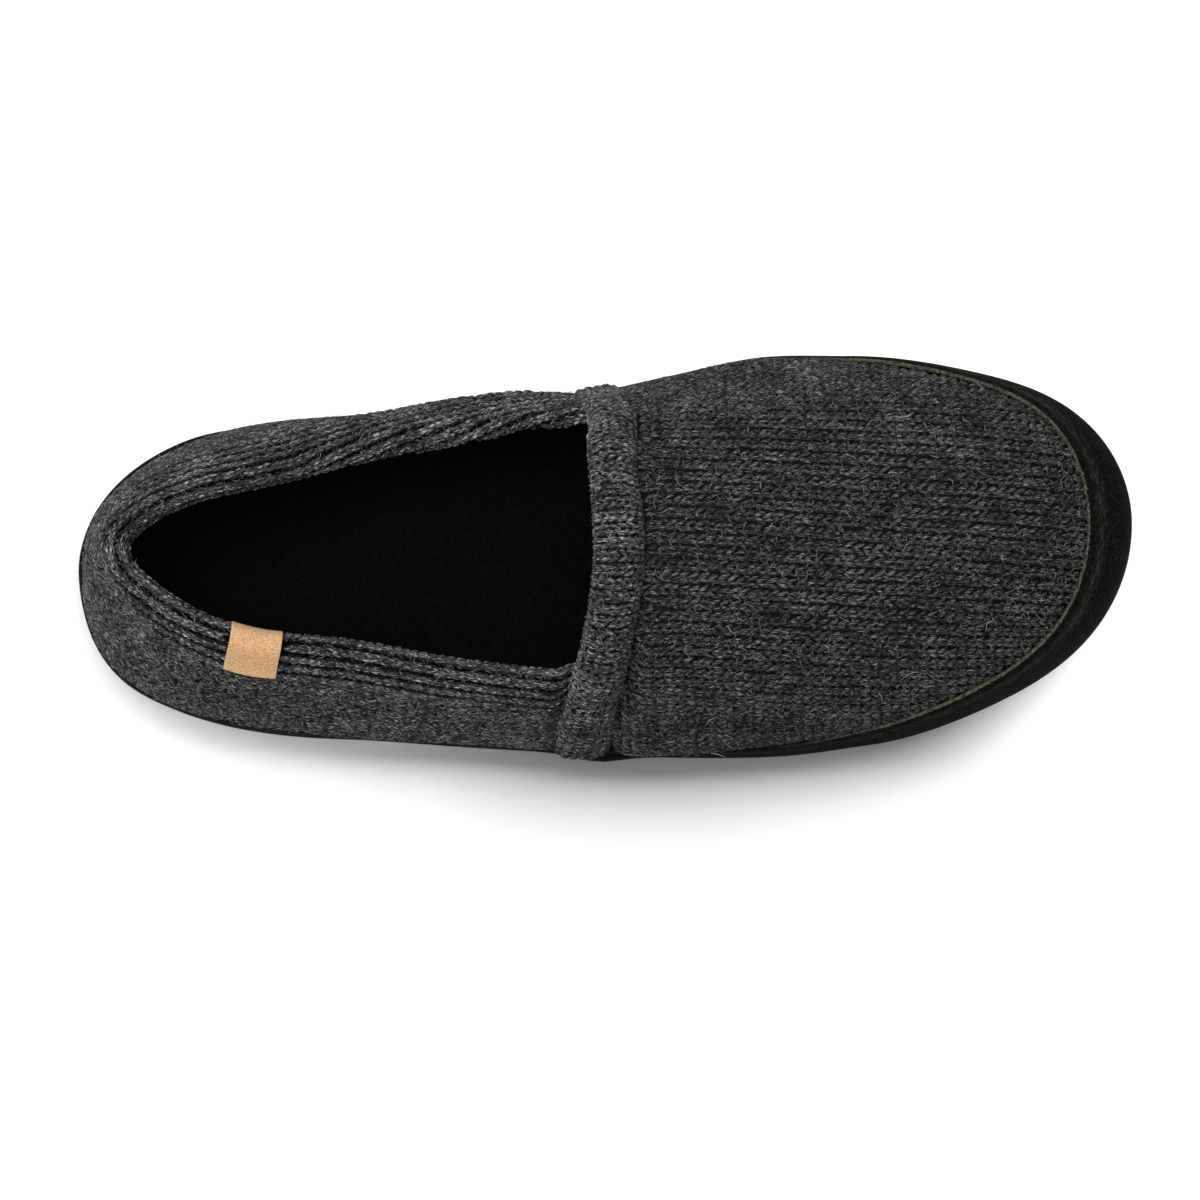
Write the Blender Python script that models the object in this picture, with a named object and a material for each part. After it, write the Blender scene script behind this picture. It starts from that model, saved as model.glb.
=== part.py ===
"""Moccasin slipper for the right foot: a knitted wool upper with a rolled collar and a hemmed throat, a suede rand,
a rubber sole and a fleece-covered insole.

Metres, +Z up, +X to the toe and +Y to the big-toe side. Every piece is worked out from one outline of the sole and one
surface, the last, that rises from that outline to a ridge over the foot. The sizes below are in millimetres.
"""

from collections import namedtuple

import bmesh
import bpy
import numpy as np

MM = 0.001

# Driving dimensions
LENGTH = 290.0
SOLE_THICKNESS = 7.0
SEAT_GAP = 0.3
UPPER_INSET = 1.9
WALL = 3.6
COLLAR_WALL = 7.0
THROAT_WALL = 4.6
RAND_THICKNESS = 1.4
INSOLE_THICKNESS = 7.5
TOE_SPRING = 8.0
TOE_SPRING_START = 205.0
HEEL_BEVEL = 2.0
HEEL_BEVEL_END = 22.0
ARCH_RISE = 1.5
ARCH_START, ARCH_END = 88.0, 152.0

# Round ends of the outline: how far each end reaches along the sole, and the roundness of its curve
HEEL_REACH, HEEL_ROUND = 70.0, 2.2
TOE_REACH, TOE_ROUND = 75.0, 1.98
TOE_SWING = 2.5
TOE_SWING_START = 190.0

# Sole half widths before the ends are rounded, and how far the knit bulges past them
Section = namedtuple("Section", "station lateral medial lateral_bulge medial_bulge")
SECTIONS = (
    Section(0.0, 46.0, 46.0, 1.0, 1.0),
    Section(35.0, 44.6, 44.2, 1.2, 1.2),
    Section(70.0, 46.2, 43.0, 1.5, 2.6),
    Section(105.0, 50.6, 43.2, 1.5, 5.2),
    Section(125.0, 52.9, 43.7, 1.5, 5.0),
    Section(140.0, 54.5, 44.8, 1.5, 3.6),
    Section(165.0, 56.8, 48.6, 1.5, 2.9),
    Section(190.0, 57.8, 52.6, 1.4, 1.8),
    Section(215.0, 56.4, 51.4, 1.2, 1.2),
    Section(250.0, 54.8, 49.2, 1.0, 1.0),
    Section(290.0, 59.0, 54.0, 1.0, 1.0),
)

# Ridge of the last in front of the throat: its height over the floor, its slope, the fullness of the section under it
# and how far the section sweeps back on its way down.
Ridge = namedtuple("Ridge", "station crown pitch fullness sweep")
THROAT = 143.0
HEEL_CENTRE, TOE_CENTRE = 72.0, 238.0
RIDGE = (
    Ridge(105.0, 75.5, 0.0, 2.0, 1.0),
    Ridge(THROAT, 75.5, 0.0, 2.0, 1.8),
    Ridge(166.0, 72.0, -0.22, 2.1, 1.4),
    Ridge(190.0, 65.5, -0.29, 2.25, 1.0),
    Ridge(215.0, 58.8, -0.28, 2.4, 1.0),
    Ridge(TOE_CENTRE, 52.8, -0.25, 2.6, 1.0),
)
THROAT_LATERAL, THROAT_MEDIAL = 130.0, 138.0
HEM_FOOT, HEM_RISE = 11.5, 13.0
RIDGE_JOINS_OUTLINE = 195.0
TOE_FAN_START = 244.0

# Collar behind the throat, by percent of the way from the heel: its height over the floor, the share of the way to the
# middle at which it stands, and the fullness of the wall under it.
Collar = namedtuple("Collar", "station height reach fullness")
COLLAR = (
    Collar(0.0, 58.0, 0.840, 2.5),
    Collar(3.0, 57.5, 0.770, 2.5),
    Collar(8.0, 56.5, 0.705, 2.4),
    Collar(15.0, 55.0, 0.665, 2.3),
    Collar(30.0, 51.5, 0.640, 2.1),
    Collar(46.0, 49.0, 0.650, 2.0),
    Collar(62.0, 47.5, 0.690, 2.0),
    Collar(77.0, 47.5, 0.730, 2.0),
    Collar(92.0, 49.3, 0.762, 2.0),
    Collar(100.0, 50.4, 0.775, 2.0),
)

# Top edge of the rand: height over the floor at each station of the outline
Edge = namedtuple("Edge", "station height")
RAND_TOP = (Edge(0.0, 17.0), Edge(60.0, 16.0), Edge(140.0, 16.5), Edge(190.0, 20.5), Edge(229.0, 27.5),
            Edge(260.0, 31.0), Edge(290.0, 35.5))

CUFF_REAR, CUFF_FRONT = 141.0, 156.0
CUFF_HEIGHT = 4.6
CUFF_FOOT_HEIGHT = 1.2

LABEL_START, LABEL_END = 31.5, 46.0
LABEL_THICKNESS = 0.8
LABEL_DROP = 8.0

# Facets
HALF_FACETS = 36
VAMP_FACETS = 13
TOE_FACETS = 10
REAR_FACETS = 22
CLIMB_FACETS = 14
COLLAR_FACETS = 8
ROLL_FACETS = 4

QUARTER_TURN = np.pi / 2
STEP = 1e-4


def smooth(table, column, at):
    """Reads a column of a table at any station, on a smooth curve through its rows."""
    knots = np.array([row.station for row in table])
    values = np.array([getattr(row, column) for row in table])
    spans = np.diff(knots)
    slopes = np.diff(values) / spans
    tangents = np.concatenate([slopes[:1], np.zeros(len(slopes) - 1), slopes[-1:]])
    tangents[1:-1] = (slopes[:-1] * spans[1:] + slopes[1:] * spans[:-1]) / (spans[1:] + spans[:-1])
    at = np.clip(at, knots[0], knots[-1])
    i = np.clip(np.searchsorted(knots, at, side="right") - 1, 0, len(spans) - 1)
    x = (at - knots[i]) / spans[i]
    rise = (3 - 2 * x) * x * x
    return (values[i] * (1 - rise) + values[i + 1] * rise
            + spans[i] * x * (1 - x) * ((1 - x) * tangents[i] - x * tangents[i + 1]))


def ease(at, start, end):
    """Climbs smoothly from 0 at start to 1 at end."""
    x = np.clip((at - start) / (end - start), 0, 1)
    return x * x * (3 - 2 * x)


# A turn runs round the outline: 0 at the heel, to 1 at the toe along the lateral side, to 2 back along the medial side
def station_of(turn):
    return LENGTH * (1 - np.cos(np.pi * turn)) / 2


def turn_of(station, medial=False):
    turn = np.arccos(1 - 2 * np.asarray(station, float) / LENGTH) / np.pi
    return 2 - turn if medial else turn


def is_medial(turn):
    return np.mod(turn, 2) > 1


def sole_edge(turn):
    """Plan points of the sole's outline."""
    x = station_of(turn)
    medial = is_medial(turn)
    width = np.where(medial, smooth(SECTIONS, "medial", x), smooth(SECTIONS, "lateral", x))
    heel = np.clip(1 - x / HEEL_REACH, 0, 1)
    toe = np.clip(1 - (LENGTH - x) / TOE_REACH, 0, 1)
    width = width * (1 - heel**HEEL_ROUND) ** (1 / HEEL_ROUND) * (1 - toe**TOE_ROUND) ** (1 / TOE_ROUND)
    middle = TOE_SWING * ease(x, TOE_SWING_START, LENGTH)
    return np.stack([x, middle + np.where(medial, width, -width)], axis=-1)


def outline(turn, inset):
    """Plan points at an even distance inside the sole's outline."""
    turn = np.asarray(turn, float)
    along = sole_edge(turn + STEP) - sole_edge(turn - STEP)
    along /= np.linalg.norm(along, axis=-1, keepdims=True)
    inward = np.stack([-along[..., 1], along[..., 0]], axis=-1)
    return sole_edge(turn) + inset * inward


def toe_lift(x):
    return TOE_SPRING * np.clip((x - TOE_SPRING_START) / (LENGTH - TOE_SPRING_START), 0, None) ** 2


def seat_height(x):
    """Height at which the upper, the rand and the insole stand just clear of the outsole."""
    return SOLE_THICKNESS + SEAT_GAP + toe_lift(x)


def ridge_station(turn):
    """Station of the ridge that the section at this turn climbs to."""
    x = station_of(turn)
    sides = []
    for throat in (THROAT_LATERAL, THROAT_MEDIAL):
        reach = (Edge(0.0, 0.0), Edge(throat, THROAT), Edge(throat + HEM_FOOT, THROAT + HEM_RISE),
                 Edge(RIDGE_JOINS_OUTLINE, RIDGE_JOINS_OUTLINE),
                 Edge(TOE_FAN_START, TOE_CENTRE), Edge(LENGTH, TOE_CENTRE))
        sides.append(smooth(reach, "height", x))
    return np.where(is_medial(turn), sides[1], sides[0])


def collar_edge(turn, column):
    """A column of the collar table at this turn."""
    throat = np.where(is_medial(turn), THROAT_MEDIAL, THROAT_LATERAL)
    return smooth(COLLAR, column, 100 * station_of(turn) / throat)


def crown(turn, floor):
    """Height of the ridge: that of the vamp, or behind the throat the one that takes the wall through the collar."""
    ridge = ridge_station(turn)
    lean = np.arccos(collar_edge(turn, "reach") ** (collar_edge(turn, "fullness") / 2))
    behind = floor + (collar_edge(turn, "height") - floor) / np.sin(lean)
    return np.where(ridge < THROAT, behind, smooth(RIDGE, "crown", ridge))


def last_point(turn, climb):
    """A point of the last: climb is 0 at the sole and a quarter turn at the ridge."""
    foot = outline(turn, UPPER_INSET)
    ridge = ridge_station(turn)
    centre_line = (Edge(0.0, HEEL_CENTRE), Edge(60.0, HEEL_CENTRE + 5.0), Edge(THROAT, THROAT),
                   Edge(TOE_CENTRE, TOE_CENTRE))
    top_x = smooth(centre_line, "height", ridge)
    top_y = TOE_SWING * ease(top_x, TOE_SWING_START, LENGTH)
    x = station_of(turn)
    bulge = np.where(is_medial(turn), smooth(SECTIONS, "medial_bulge", x), smooth(SECTIONS, "lateral_bulge", x))
    span = np.hypot(foot[..., 0] - top_x, foot[..., 1] - top_y)
    full = np.where(ridge < THROAT, collar_edge(turn, "fullness"), smooth(RIDGE, "fullness", ridge))
    lean = np.cos(climb)
    reach = np.sign(lean) * np.abs(lean) ** (2 / full) + bulge / span * np.sin(2 * climb)
    rise = np.sin(climb)
    floor = seat_height(np.clip(foot[..., 0], 0, LENGTH))
    px = top_x + (foot[..., 0] - top_x) * np.sign(reach) * np.abs(reach) ** smooth(RIDGE, "sweep", ridge)
    py = top_y + (foot[..., 1] - top_y) * reach
    pz = floor + (crown(turn, floor) - floor) * rise
    pz = pz + smooth(RIDGE, "pitch", ridge) * (px - top_x) * rise
    return np.stack(np.broadcast_arrays(px, py, pz), axis=-1)


def upper_point(turn, climb, lift=0.0):
    """A point at a height of lift over the last, along its outward normal."""
    turn, climb, lift = np.broadcast_arrays(np.asarray(turn, float), climb, lift)
    point = last_point(turn, climb)
    along = last_point(turn + STEP, climb) - last_point(turn - STEP, climb)
    up = last_point(turn, climb + STEP) - last_point(turn, climb - STEP)
    normal = np.cross(along, up)
    at_pole = np.linalg.norm(along, axis=-1) < STEP * 1e-3
    pitch = smooth(RIDGE, "pitch", ridge_station(turn))
    normal[at_pole] = np.stack([-pitch, 0 * pitch, 1 + 0 * pitch], axis=-1)[at_pole]
    normal /= np.linalg.norm(normal, axis=-1, keepdims=True)
    return point + lift[..., None] * normal


def climb_to(turn, height):
    """Climb at which the last reaches a height over the floor."""
    turn = np.asarray(turn, float)
    low, high = np.zeros_like(turn), np.full_like(turn, QUARTER_TURN)
    for _ in range(40):
        middle = (low + high) / 2
        above = last_point(turn, middle)[..., 2] > height
        high = np.where(above, middle, high)
        low = np.where(above, low, middle)
    return low


def collar_climb(turn):
    return climb_to(turn, collar_edge(turn, "height"))


def rand_climb(turn):
    return climb_to(turn, smooth(RAND_TOP, "height", station_of(turn)))


def material(name, colour, roughness):
    made = bpy.data.materials.new(name)
    made.use_nodes = True
    shader = made.node_tree.nodes["Principled BSDF"]
    shader.inputs["Base Color"].default_value = (*colour, 1.0)
    shader.inputs["Roughness"].default_value = roughness
    shader.inputs["Metallic"].default_value = 0.0
    return made


def add_piece(name, mesh, finish, parent):
    """Closes a bmesh in millimetres into a named, smoothly shaded object on the parent."""
    bmesh.ops.remove_doubles(mesh, verts=mesh.verts, dist=1e-3)
    bmesh.ops.dissolve_degenerate(mesh, edges=mesh.edges, dist=1e-4)
    bmesh.ops.recalc_face_normals(mesh, faces=mesh.faces)
    bmesh.ops.scale(mesh, vec=(MM, MM, MM), verts=mesh.verts)
    data = bpy.data.meshes.new(name)
    mesh.to_mesh(data)
    mesh.free()
    data.shade_smooth()
    data.set_sharp_from_angle(angle=np.radians(40))
    data.materials.append(finish)
    made = bpy.data.objects.new(name, data)
    bpy.context.scene.collection.objects.link(made)
    made.parent = parent
    return made


def add_grid(mesh, points, close_rows=False, close_columns=False):
    """Quads over a grid of points, and the grid of its vertices."""
    rows, columns = points.shape[:2]
    verts = [[mesh.verts.new(points[i, j]) for j in range(columns)] for i in range(rows)]
    for i in range(rows if close_rows else rows - 1):
        for j in range(columns if close_columns else columns - 1):
            a, b = (i + 1) % rows, (j + 1) % columns
            mesh.faces.new((verts[i][j], verts[a][j], verts[a][b], verts[i][b]))
    return verts


def close_ends(mesh, verts):
    """Quads across both ends of a tube whose rings run out along one skin and back along the other."""
    for end in (verts[0], verts[-1]):
        for k in range(len(end) // 2 - 1):
            mesh.faces.new((end[k], end[k + 1], end[-2 - k], end[-1 - k]))


def build_plate(inset, bottom_rings, top_rings):
    """A closed plate over the outline. Each ring of its edge is (extra inset, height as a function of x)."""
    mesh = bmesh.new()
    lateral = np.linspace(0, 1, HALF_FACETS + 1)
    medial = 2 - lateral
    across = np.linspace(0, 1, 6)

    def ring(extra, height, turn):
        plan = outline(turn, inset + extra)
        return np.concatenate([plan, height(plan[..., :1])], axis=-1)

    def cover(extra, height):
        left, right = (outline(turn, inset + extra)[:, None, :] for turn in (lateral, medial))
        plan = left + (right - left) * across[:, None]
        add_grid(mesh, np.concatenate([plan, height(plan[..., :1])], axis=-1))

    whole = np.concatenate([lateral, medial[-2:0:-1]])
    add_grid(mesh, np.stack([ring(*r, whole) for r in (*bottom_rings, *top_rings)], axis=1), close_rows=True)
    cover(*bottom_rings[0])
    cover(*top_rings[-1])
    return mesh


def sole_underside(x):
    """The tread: flat under heel and ball, a shallow arch between them, a bevelled heel and a sprung toe."""
    arch = ARCH_RISE * ease(x, ARCH_START, ARCH_START + 15) * (1 - ease(x, ARCH_END - 15, ARCH_END))
    heel = HEEL_BEVEL * np.clip(1 - x / HEEL_BEVEL_END, 0, None) ** 2
    return arch + heel + toe_lift(x)


def build_outsole():
    def side(share):
        return lambda x: sole_underside(x) + share * (SOLE_THICKNESS + toe_lift(x) - sole_underside(x))

    bottom = ((2.2, side(0.0)), (0.8, side(0.12)))
    top = ((0.0, side(0.45)), (0.0, side(0.75)), (0.5, side(0.95)), (1.2, side(1.0)))
    return build_plate(0.0, bottom, top)


def build_insole():
    def level(height):
        return lambda x: seat_height(x) + height

    inset = UPPER_INSET + WALL + 1.0
    bottom = ((0.6, level(0.0)), (0.0, level(0.8)))
    top = ((0.4, level(INSOLE_THICKNESS * 0.55)), (2.0, level(INSOLE_THICKNESS * 0.9)),
           (4.5, level(INSOLE_THICKNESS)))
    return build_plate(inset, bottom, top)


def wall_depth(climb, top):
    """Thickness of the quarter's wall, which doubles towards the rolled collar."""
    return WALL + (COLLAR_WALL - WALL) * ease(climb / top, 0.45, 0.95)


def rear_turns():
    """Turns from the medial throat round the heel to the lateral throat, close together at the heel."""
    lateral = np.linspace(0, turn_of(THROAT_LATERAL), REAR_FACETS + 1)
    medial = np.linspace(0, turn_of(THROAT_MEDIAL), REAR_FACETS + 1)
    return np.concatenate([-medial[::-1], lateral[1:]])


def front_turns():
    """Pairs of lateral and medial turns from the throat to the toe, each pair with one ridge station."""
    x = np.linspace(0, TOE_FAN_START, 2000)
    ridges = np.linspace(THROAT, TOE_CENTRE, VAMP_FACETS + 1)
    lateral = np.interp(ridges, ridge_station(turn_of(x)), x)
    medial = np.interp(ridges, ridge_station(turn_of(x, medial=True)), x)
    lateral[0], medial[0] = THROAT_LATERAL, THROAT_MEDIAL
    fan = station_of(np.linspace(turn_of(TOE_FAN_START), 1, TOE_FACETS + 1))[1:]
    return turn_of(np.concatenate([lateral, fan])), turn_of(np.concatenate([medial, fan]), medial=True)


def climb_steps(low_edge):
    """Shares of the climb on a whole section: the first ones end at the collar, the others run on to the ridge."""
    rear = np.linspace(0, 1, COLLAR_FACETS + 1)
    front = np.linspace(0, 1, CLIMB_FACETS - COLLAR_FACETS + 1)[1:]
    return np.concatenate([low_edge[:, None] * rear, low_edge[:, None] + (QUARTER_TURN - low_edge)[:, None] * front],
                          axis=1)


def build_upper():
    """Outer and inner skins of the quarter and the vamp, joined by a rolled rim and a flat foot."""
    mesh = bmesh.new()
    rear = rear_turns()
    top = collar_climb(np.mod(rear, 2))
    quarter = top[:, None] * np.linspace(0, 1, COLLAR_FACETS + 1)
    depth = wall_depth(quarter, top[:, None])
    lateral, medial = front_turns()
    sides = []
    for turn, corner in ((lateral, top[-1]), (medial, top[0])):
        to_collar = np.linspace(corner, (top[0] + top[-1]) / 2, len(turn))
        climb = climb_steps(to_collar)
        thick = np.full_like(climb, WALL)
        thick[0, : COLLAR_FACETS + 1] = wall_depth(climb[0, : COLLAR_FACETS + 1], corner)
        thick[0, COLLAR_FACETS + 1 :] = THROAT_WALL
        thick[1] = (thick[0] + 3 * WALL) / 4
        sides.append((turn[:, None], climb, thick))

    def skin(inner):
        sign = -1.0 if inner else 0.0
        add_grid(mesh, upper_point(np.mod(rear, 2)[:, None], quarter, sign * depth))
        half = [upper_point(turn, climb, sign * thick) for turn, climb, thick in sides]
        add_grid(mesh, np.concatenate([half[0], half[1][:, -2::-1]], axis=1))
        collar = upper_point(np.mod(rear, 2), top, sign * depth[:, -1])
        throat = np.concatenate([half[0][0, COLLAR_FACETS:], half[1][0, -2 : COLLAR_FACETS - 1 : -1]])
        rim = np.concatenate([collar, throat[1:-1]])
        foot = np.concatenate([upper_point(np.mod(rear, 2), 0.0, sign * WALL), half[0][1:, 0],
                               half[1][-2:0:-1, 0]])
        return rim, foot

    outer_rim, outer_foot = skin(inner=False)
    inner_rim, inner_foot = skin(inner=True)
    below = np.concatenate([upper_point(np.mod(rear, 2), top - 0.05),
                            upper_point(lateral[1], climb_steps(top[-1:])[0, COLLAR_FACETS + 1 :]),
                            upper_point(medial[1], climb_steps(top[:1])[0, -2 : COLLAR_FACETS : -1])])
    away = outer_rim - below
    add_grid(mesh, rolled_rim(outer_rim, inner_rim, away), close_rows=True)
    add_grid(mesh, np.stack([outer_foot, inner_foot], axis=1), close_rows=True)
    return mesh


def rolled_rim(outer, inner, away):
    """Half-round edge from the outer skin to the inner one, bulging away from the wall."""
    centre = (outer + inner) / 2
    across = (outer - inner) / 2
    radius = np.linalg.norm(across, axis=-1, keepdims=True)
    unit = across / radius
    away = away - (away * unit).sum(-1, keepdims=True) * unit
    away *= radius / np.linalg.norm(away, axis=-1, keepdims=True)
    angle = np.linspace(0, np.pi, ROLL_FACETS + 1)[:, None, None]
    return (centre + np.cos(angle) * across + np.sin(angle) * away).swapaxes(0, 1)


def build_rand():
    """Suede band between two forms over the upper, from the sole to the rand's top edge."""
    lateral, medial = front_turns()
    turn = np.mod(np.concatenate([rear_turns(), lateral[1:], medial[-2:0:-1]]), 2)[:, None]
    climb = rand_climb(turn) * np.linspace(0, 1, 5)
    outer = upper_point(turn, climb, SEAT_GAP + RAND_THICKNESS)
    inner = upper_point(turn, climb, SEAT_GAP)[:, ::-1]
    ring = np.concatenate([outer, inner], axis=1)
    ring[..., 2] = np.maximum(ring[..., 2], seat_height(ring[..., 0]))
    mesh = bmesh.new()
    add_grid(mesh, ring, close_rows=True, close_columns=True)
    return mesh


def build_throat_cuff():
    """The vamp's hem: a domed band over the instep, from rand to rand."""
    x = np.linspace(0, TOE_FAN_START, 2000)
    band = np.linspace(CUFF_REAR, CUFF_FRONT, 7)
    halves = []
    for medial in (False, True):
        turn = turn_of(np.interp(band, ridge_station(turn_of(x, medial)), x), medial)
        start = rand_climb(turn) + 0.03
        climb = start[:, None] + (QUARTER_TURN - start)[:, None] * np.linspace(0, 1, CLIMB_FACETS + 1)
        halves.append((turn[:, None], climb))
    dome = (1 - np.abs(np.linspace(-1, 1, len(band))[:, None]) ** 3) ** 0.5
    skins = []
    for puff in (1.0, 0.0):
        sides = []
        for turn, climb in halves:
            height = CUFF_FOOT_HEIGHT + (CUFF_HEIGHT - CUFF_FOOT_HEIGHT) * np.sin(climb) ** 2
            sides.append(upper_point(turn, climb, SEAT_GAP + puff * (0.6 + dome * height)))
        skins.append(np.concatenate([sides[0], sides[1][:, -2::-1]], axis=1))
    ring = np.concatenate([skins[0], skins[1][::-1]]).swapaxes(0, 1)
    mesh = bmesh.new()
    close_ends(mesh, add_grid(mesh, ring, close_columns=True))
    return mesh


def build_label_tab():
    """Loop of tape over the lateral collar, from the lining over the roll and down the outside."""
    turn = turn_of(np.linspace(LABEL_START, LABEL_END, 5))
    top = collar_climb(turn)
    drop = LABEL_DROP / np.linalg.norm(upper_point(turn, top) - upper_point(turn, top - 0.1), axis=-1) * 0.1
    climb = top[:, None] - drop[:, None] * np.linspace(1, 0, 4)
    rows = []
    for lift in (SEAT_GAP, SEAT_GAP + LABEL_THICKNESS):
        outside = upper_point(turn[:, None], climb, lift)
        inside = upper_point(turn[:, None], climb[:, ::-1], -wall_depth(climb[:, ::-1], top[:, None]) - lift)
        away = outside[:, -1] - outside[:, -2]
        roll = rolled_rim(outside[:, -1], inside[:, 0], away)
        rows.append(np.concatenate([outside, roll[:, 1:-1], inside[:, :2]], axis=1))
    ring = np.concatenate([rows[1], rows[0][:, ::-1]], axis=1)
    mesh = bmesh.new()
    close_ends(mesh, add_grid(mesh, ring, close_columns=True))
    return mesh


def main():
    for old in list(bpy.data.objects):
        bpy.data.objects.remove(old)
    around = sole_edge(np.linspace(0, 2, 2000))
    stand = bpy.data.objects.new("stand", None)
    stand.location = (*(-MM * (around.min(axis=0) + around.max(axis=0)) / 2), 0.0)
    bpy.context.scene.collection.objects.link(stand)

    rubber = material("black_rubber", (0.012, 0.012, 0.012), 0.75)
    fleece = material("black_fleece", (0.006, 0.006, 0.006), 0.95)
    wool = material("charcoal_wool_knit", (0.045, 0.045, 0.047), 0.9)
    suede = material("black_suede", (0.012, 0.011, 0.01), 0.9)
    tape = material("tan_faux_suede", (0.63, 0.39, 0.21), 0.85)

    add_piece("outsole", build_outsole(), rubber, stand)
    add_piece("insole", build_insole(), fleece, stand)
    add_piece("upper", build_upper(), wool, stand)
    add_piece("rand", build_rand(), suede, stand)
    add_piece("throat_cuff", build_throat_cuff(), wool, stand)
    add_piece("label_tab", build_label_tab(), tape, stand)


main()
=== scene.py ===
"""Looks of a moccasin slipper for the right foot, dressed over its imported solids.

Ragg wool knit covers the vamp, the quarter and the throat cuff, stitch by stitch, over a felt and fleece
shell. A suede rand, a rubber sole, a fleece footbed and a bare tape tab finish it. Sizes are millimetres in
the shoe's own frame, x from the heel and y to the big-toe side, until Last.place puts them in the row's.
"""

import logging
import math
from dataclasses import dataclass, field, replace
from enum import Enum
from typing import Any

import bpy
import numpy as np
from mathutils import Matrix, Vector

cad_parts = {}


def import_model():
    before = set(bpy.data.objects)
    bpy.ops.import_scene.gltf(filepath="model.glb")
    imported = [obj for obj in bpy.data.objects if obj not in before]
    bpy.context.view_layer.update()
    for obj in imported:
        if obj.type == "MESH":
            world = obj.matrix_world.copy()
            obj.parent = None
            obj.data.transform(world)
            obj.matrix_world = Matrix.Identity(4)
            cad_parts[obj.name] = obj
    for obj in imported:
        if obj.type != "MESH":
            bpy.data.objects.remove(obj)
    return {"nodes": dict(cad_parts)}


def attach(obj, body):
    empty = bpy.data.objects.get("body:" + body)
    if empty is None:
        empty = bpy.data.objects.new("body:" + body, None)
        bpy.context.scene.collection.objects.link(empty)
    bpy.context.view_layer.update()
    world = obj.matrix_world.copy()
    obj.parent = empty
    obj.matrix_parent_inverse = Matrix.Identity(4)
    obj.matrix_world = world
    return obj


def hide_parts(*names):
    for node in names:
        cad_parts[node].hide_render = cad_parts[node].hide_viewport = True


Array = np.ndarray
Pair = tuple[float, float]
Triple = tuple[float, float, float]
Rows = tuple[tuple[float, ...], ...]
Stops = tuple[tuple[float, str], ...]
MM = 0.001
QUARTER_TURN = math.pi / 2
STEP = 1e-4
BODY = "root"
LOG = logging.getLogger("slipper")


class Slot(Enum):
    """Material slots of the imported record."""

    RUBBER = "black_rubber"
    FLEECE = "black_fleece"
    WOOL = "charcoal_wool_knit"
    SUEDE = "black_suede"
    TAPE = "tan_faux_suede"


class Side(Enum):
    """The two sides of the shoe."""

    LATERAL = 0
    MEDIAL = 1


def linear(colour: str) -> tuple[float, float, float, float]:
    """Turns an sRGB hex colour into linear light.

    Args:
        colour: six hex digits after a hash sign.

    Returns:
        Linear red, green, blue and an alpha of one.
    """
    parts = [int(colour[i : i + 2], 16) / 255 for i in (1, 3, 5)]
    made = [p / 12.92 if p <= 0.04045 else ((p + 0.055) / 1.055) ** 2.4 for p in parts]
    return (*made, 1.0)


def add_node(tree: Any, kind: str, settings: dict[str, Any], feeds: dict[Any, Any]) -> Any:
    """Adds a shader node with its settings and links.

    Args:
        tree: node tree of the material.
        kind: Blender's name of the node type after "ShaderNode".
        settings: attributes of the node; "stops" holds the positions and colours of a ramp.
        feeds: input sockets by name or index, each with a constant, an output socket, or a node for its
            first output.

    Returns:
        The node.
    """
    node = tree.nodes.new(f"ShaderNode{kind}")
    for key, value in settings.items():
        if key == "stops":
            ramp = node.color_ramp.elements
            while len(ramp) < len(value):
                ramp.new(0.5)
            for element, (position, colour) in zip(ramp, value):
                element.position = position
                element.color = linear(colour)
        else:
            setattr(node, key, value)
    for key, value in feeds.items():
        if isinstance(value, bpy.types.Node):
            value = value.outputs[0]
        if isinstance(value, bpy.types.NodeSocket):
            tree.links.new(value, node.inputs[key])
        else:
            node.inputs[key].default_value = value
    return node


def start_material(name: str, constants: dict[str, Any]) -> tuple[Any, Any, Any]:
    """Starts a material whose shader has its constants set on its own sockets.

    Args:
        name: name of the material.
        constants: values of the shader's sockets by name.

    Returns:
        The material, its node tree and its shader node.
    """
    made = bpy.data.materials.new(name)
    made.use_nodes = True
    shader = made.node_tree.nodes["Principled BSDF"]
    for key, value in constants.items():
        shader.inputs[key].default_value = value
    return made, made.node_tree, shader


def close_material(tree: Any, shader: Any, colour: Any, height: Any, strength: float, depth: float) -> None:
    """Links a colour and a bump to a shader.

    Args:
        tree: node tree of the material.
        shader: its shader node.
        colour: output socket of the colour.
        height: node of the bump's height.
        strength: strength of the bump.
        depth: depth of the bump in millimetres.
    """
    bump = add_node(tree, "Bump", {}, {"Height": height, "Strength": strength, "Distance": depth * MM})
    tree.links.new(colour, shader.inputs["Base Color"])
    tree.links.new(bump.outputs["Normal"], shader.inputs["Normal"])


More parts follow.
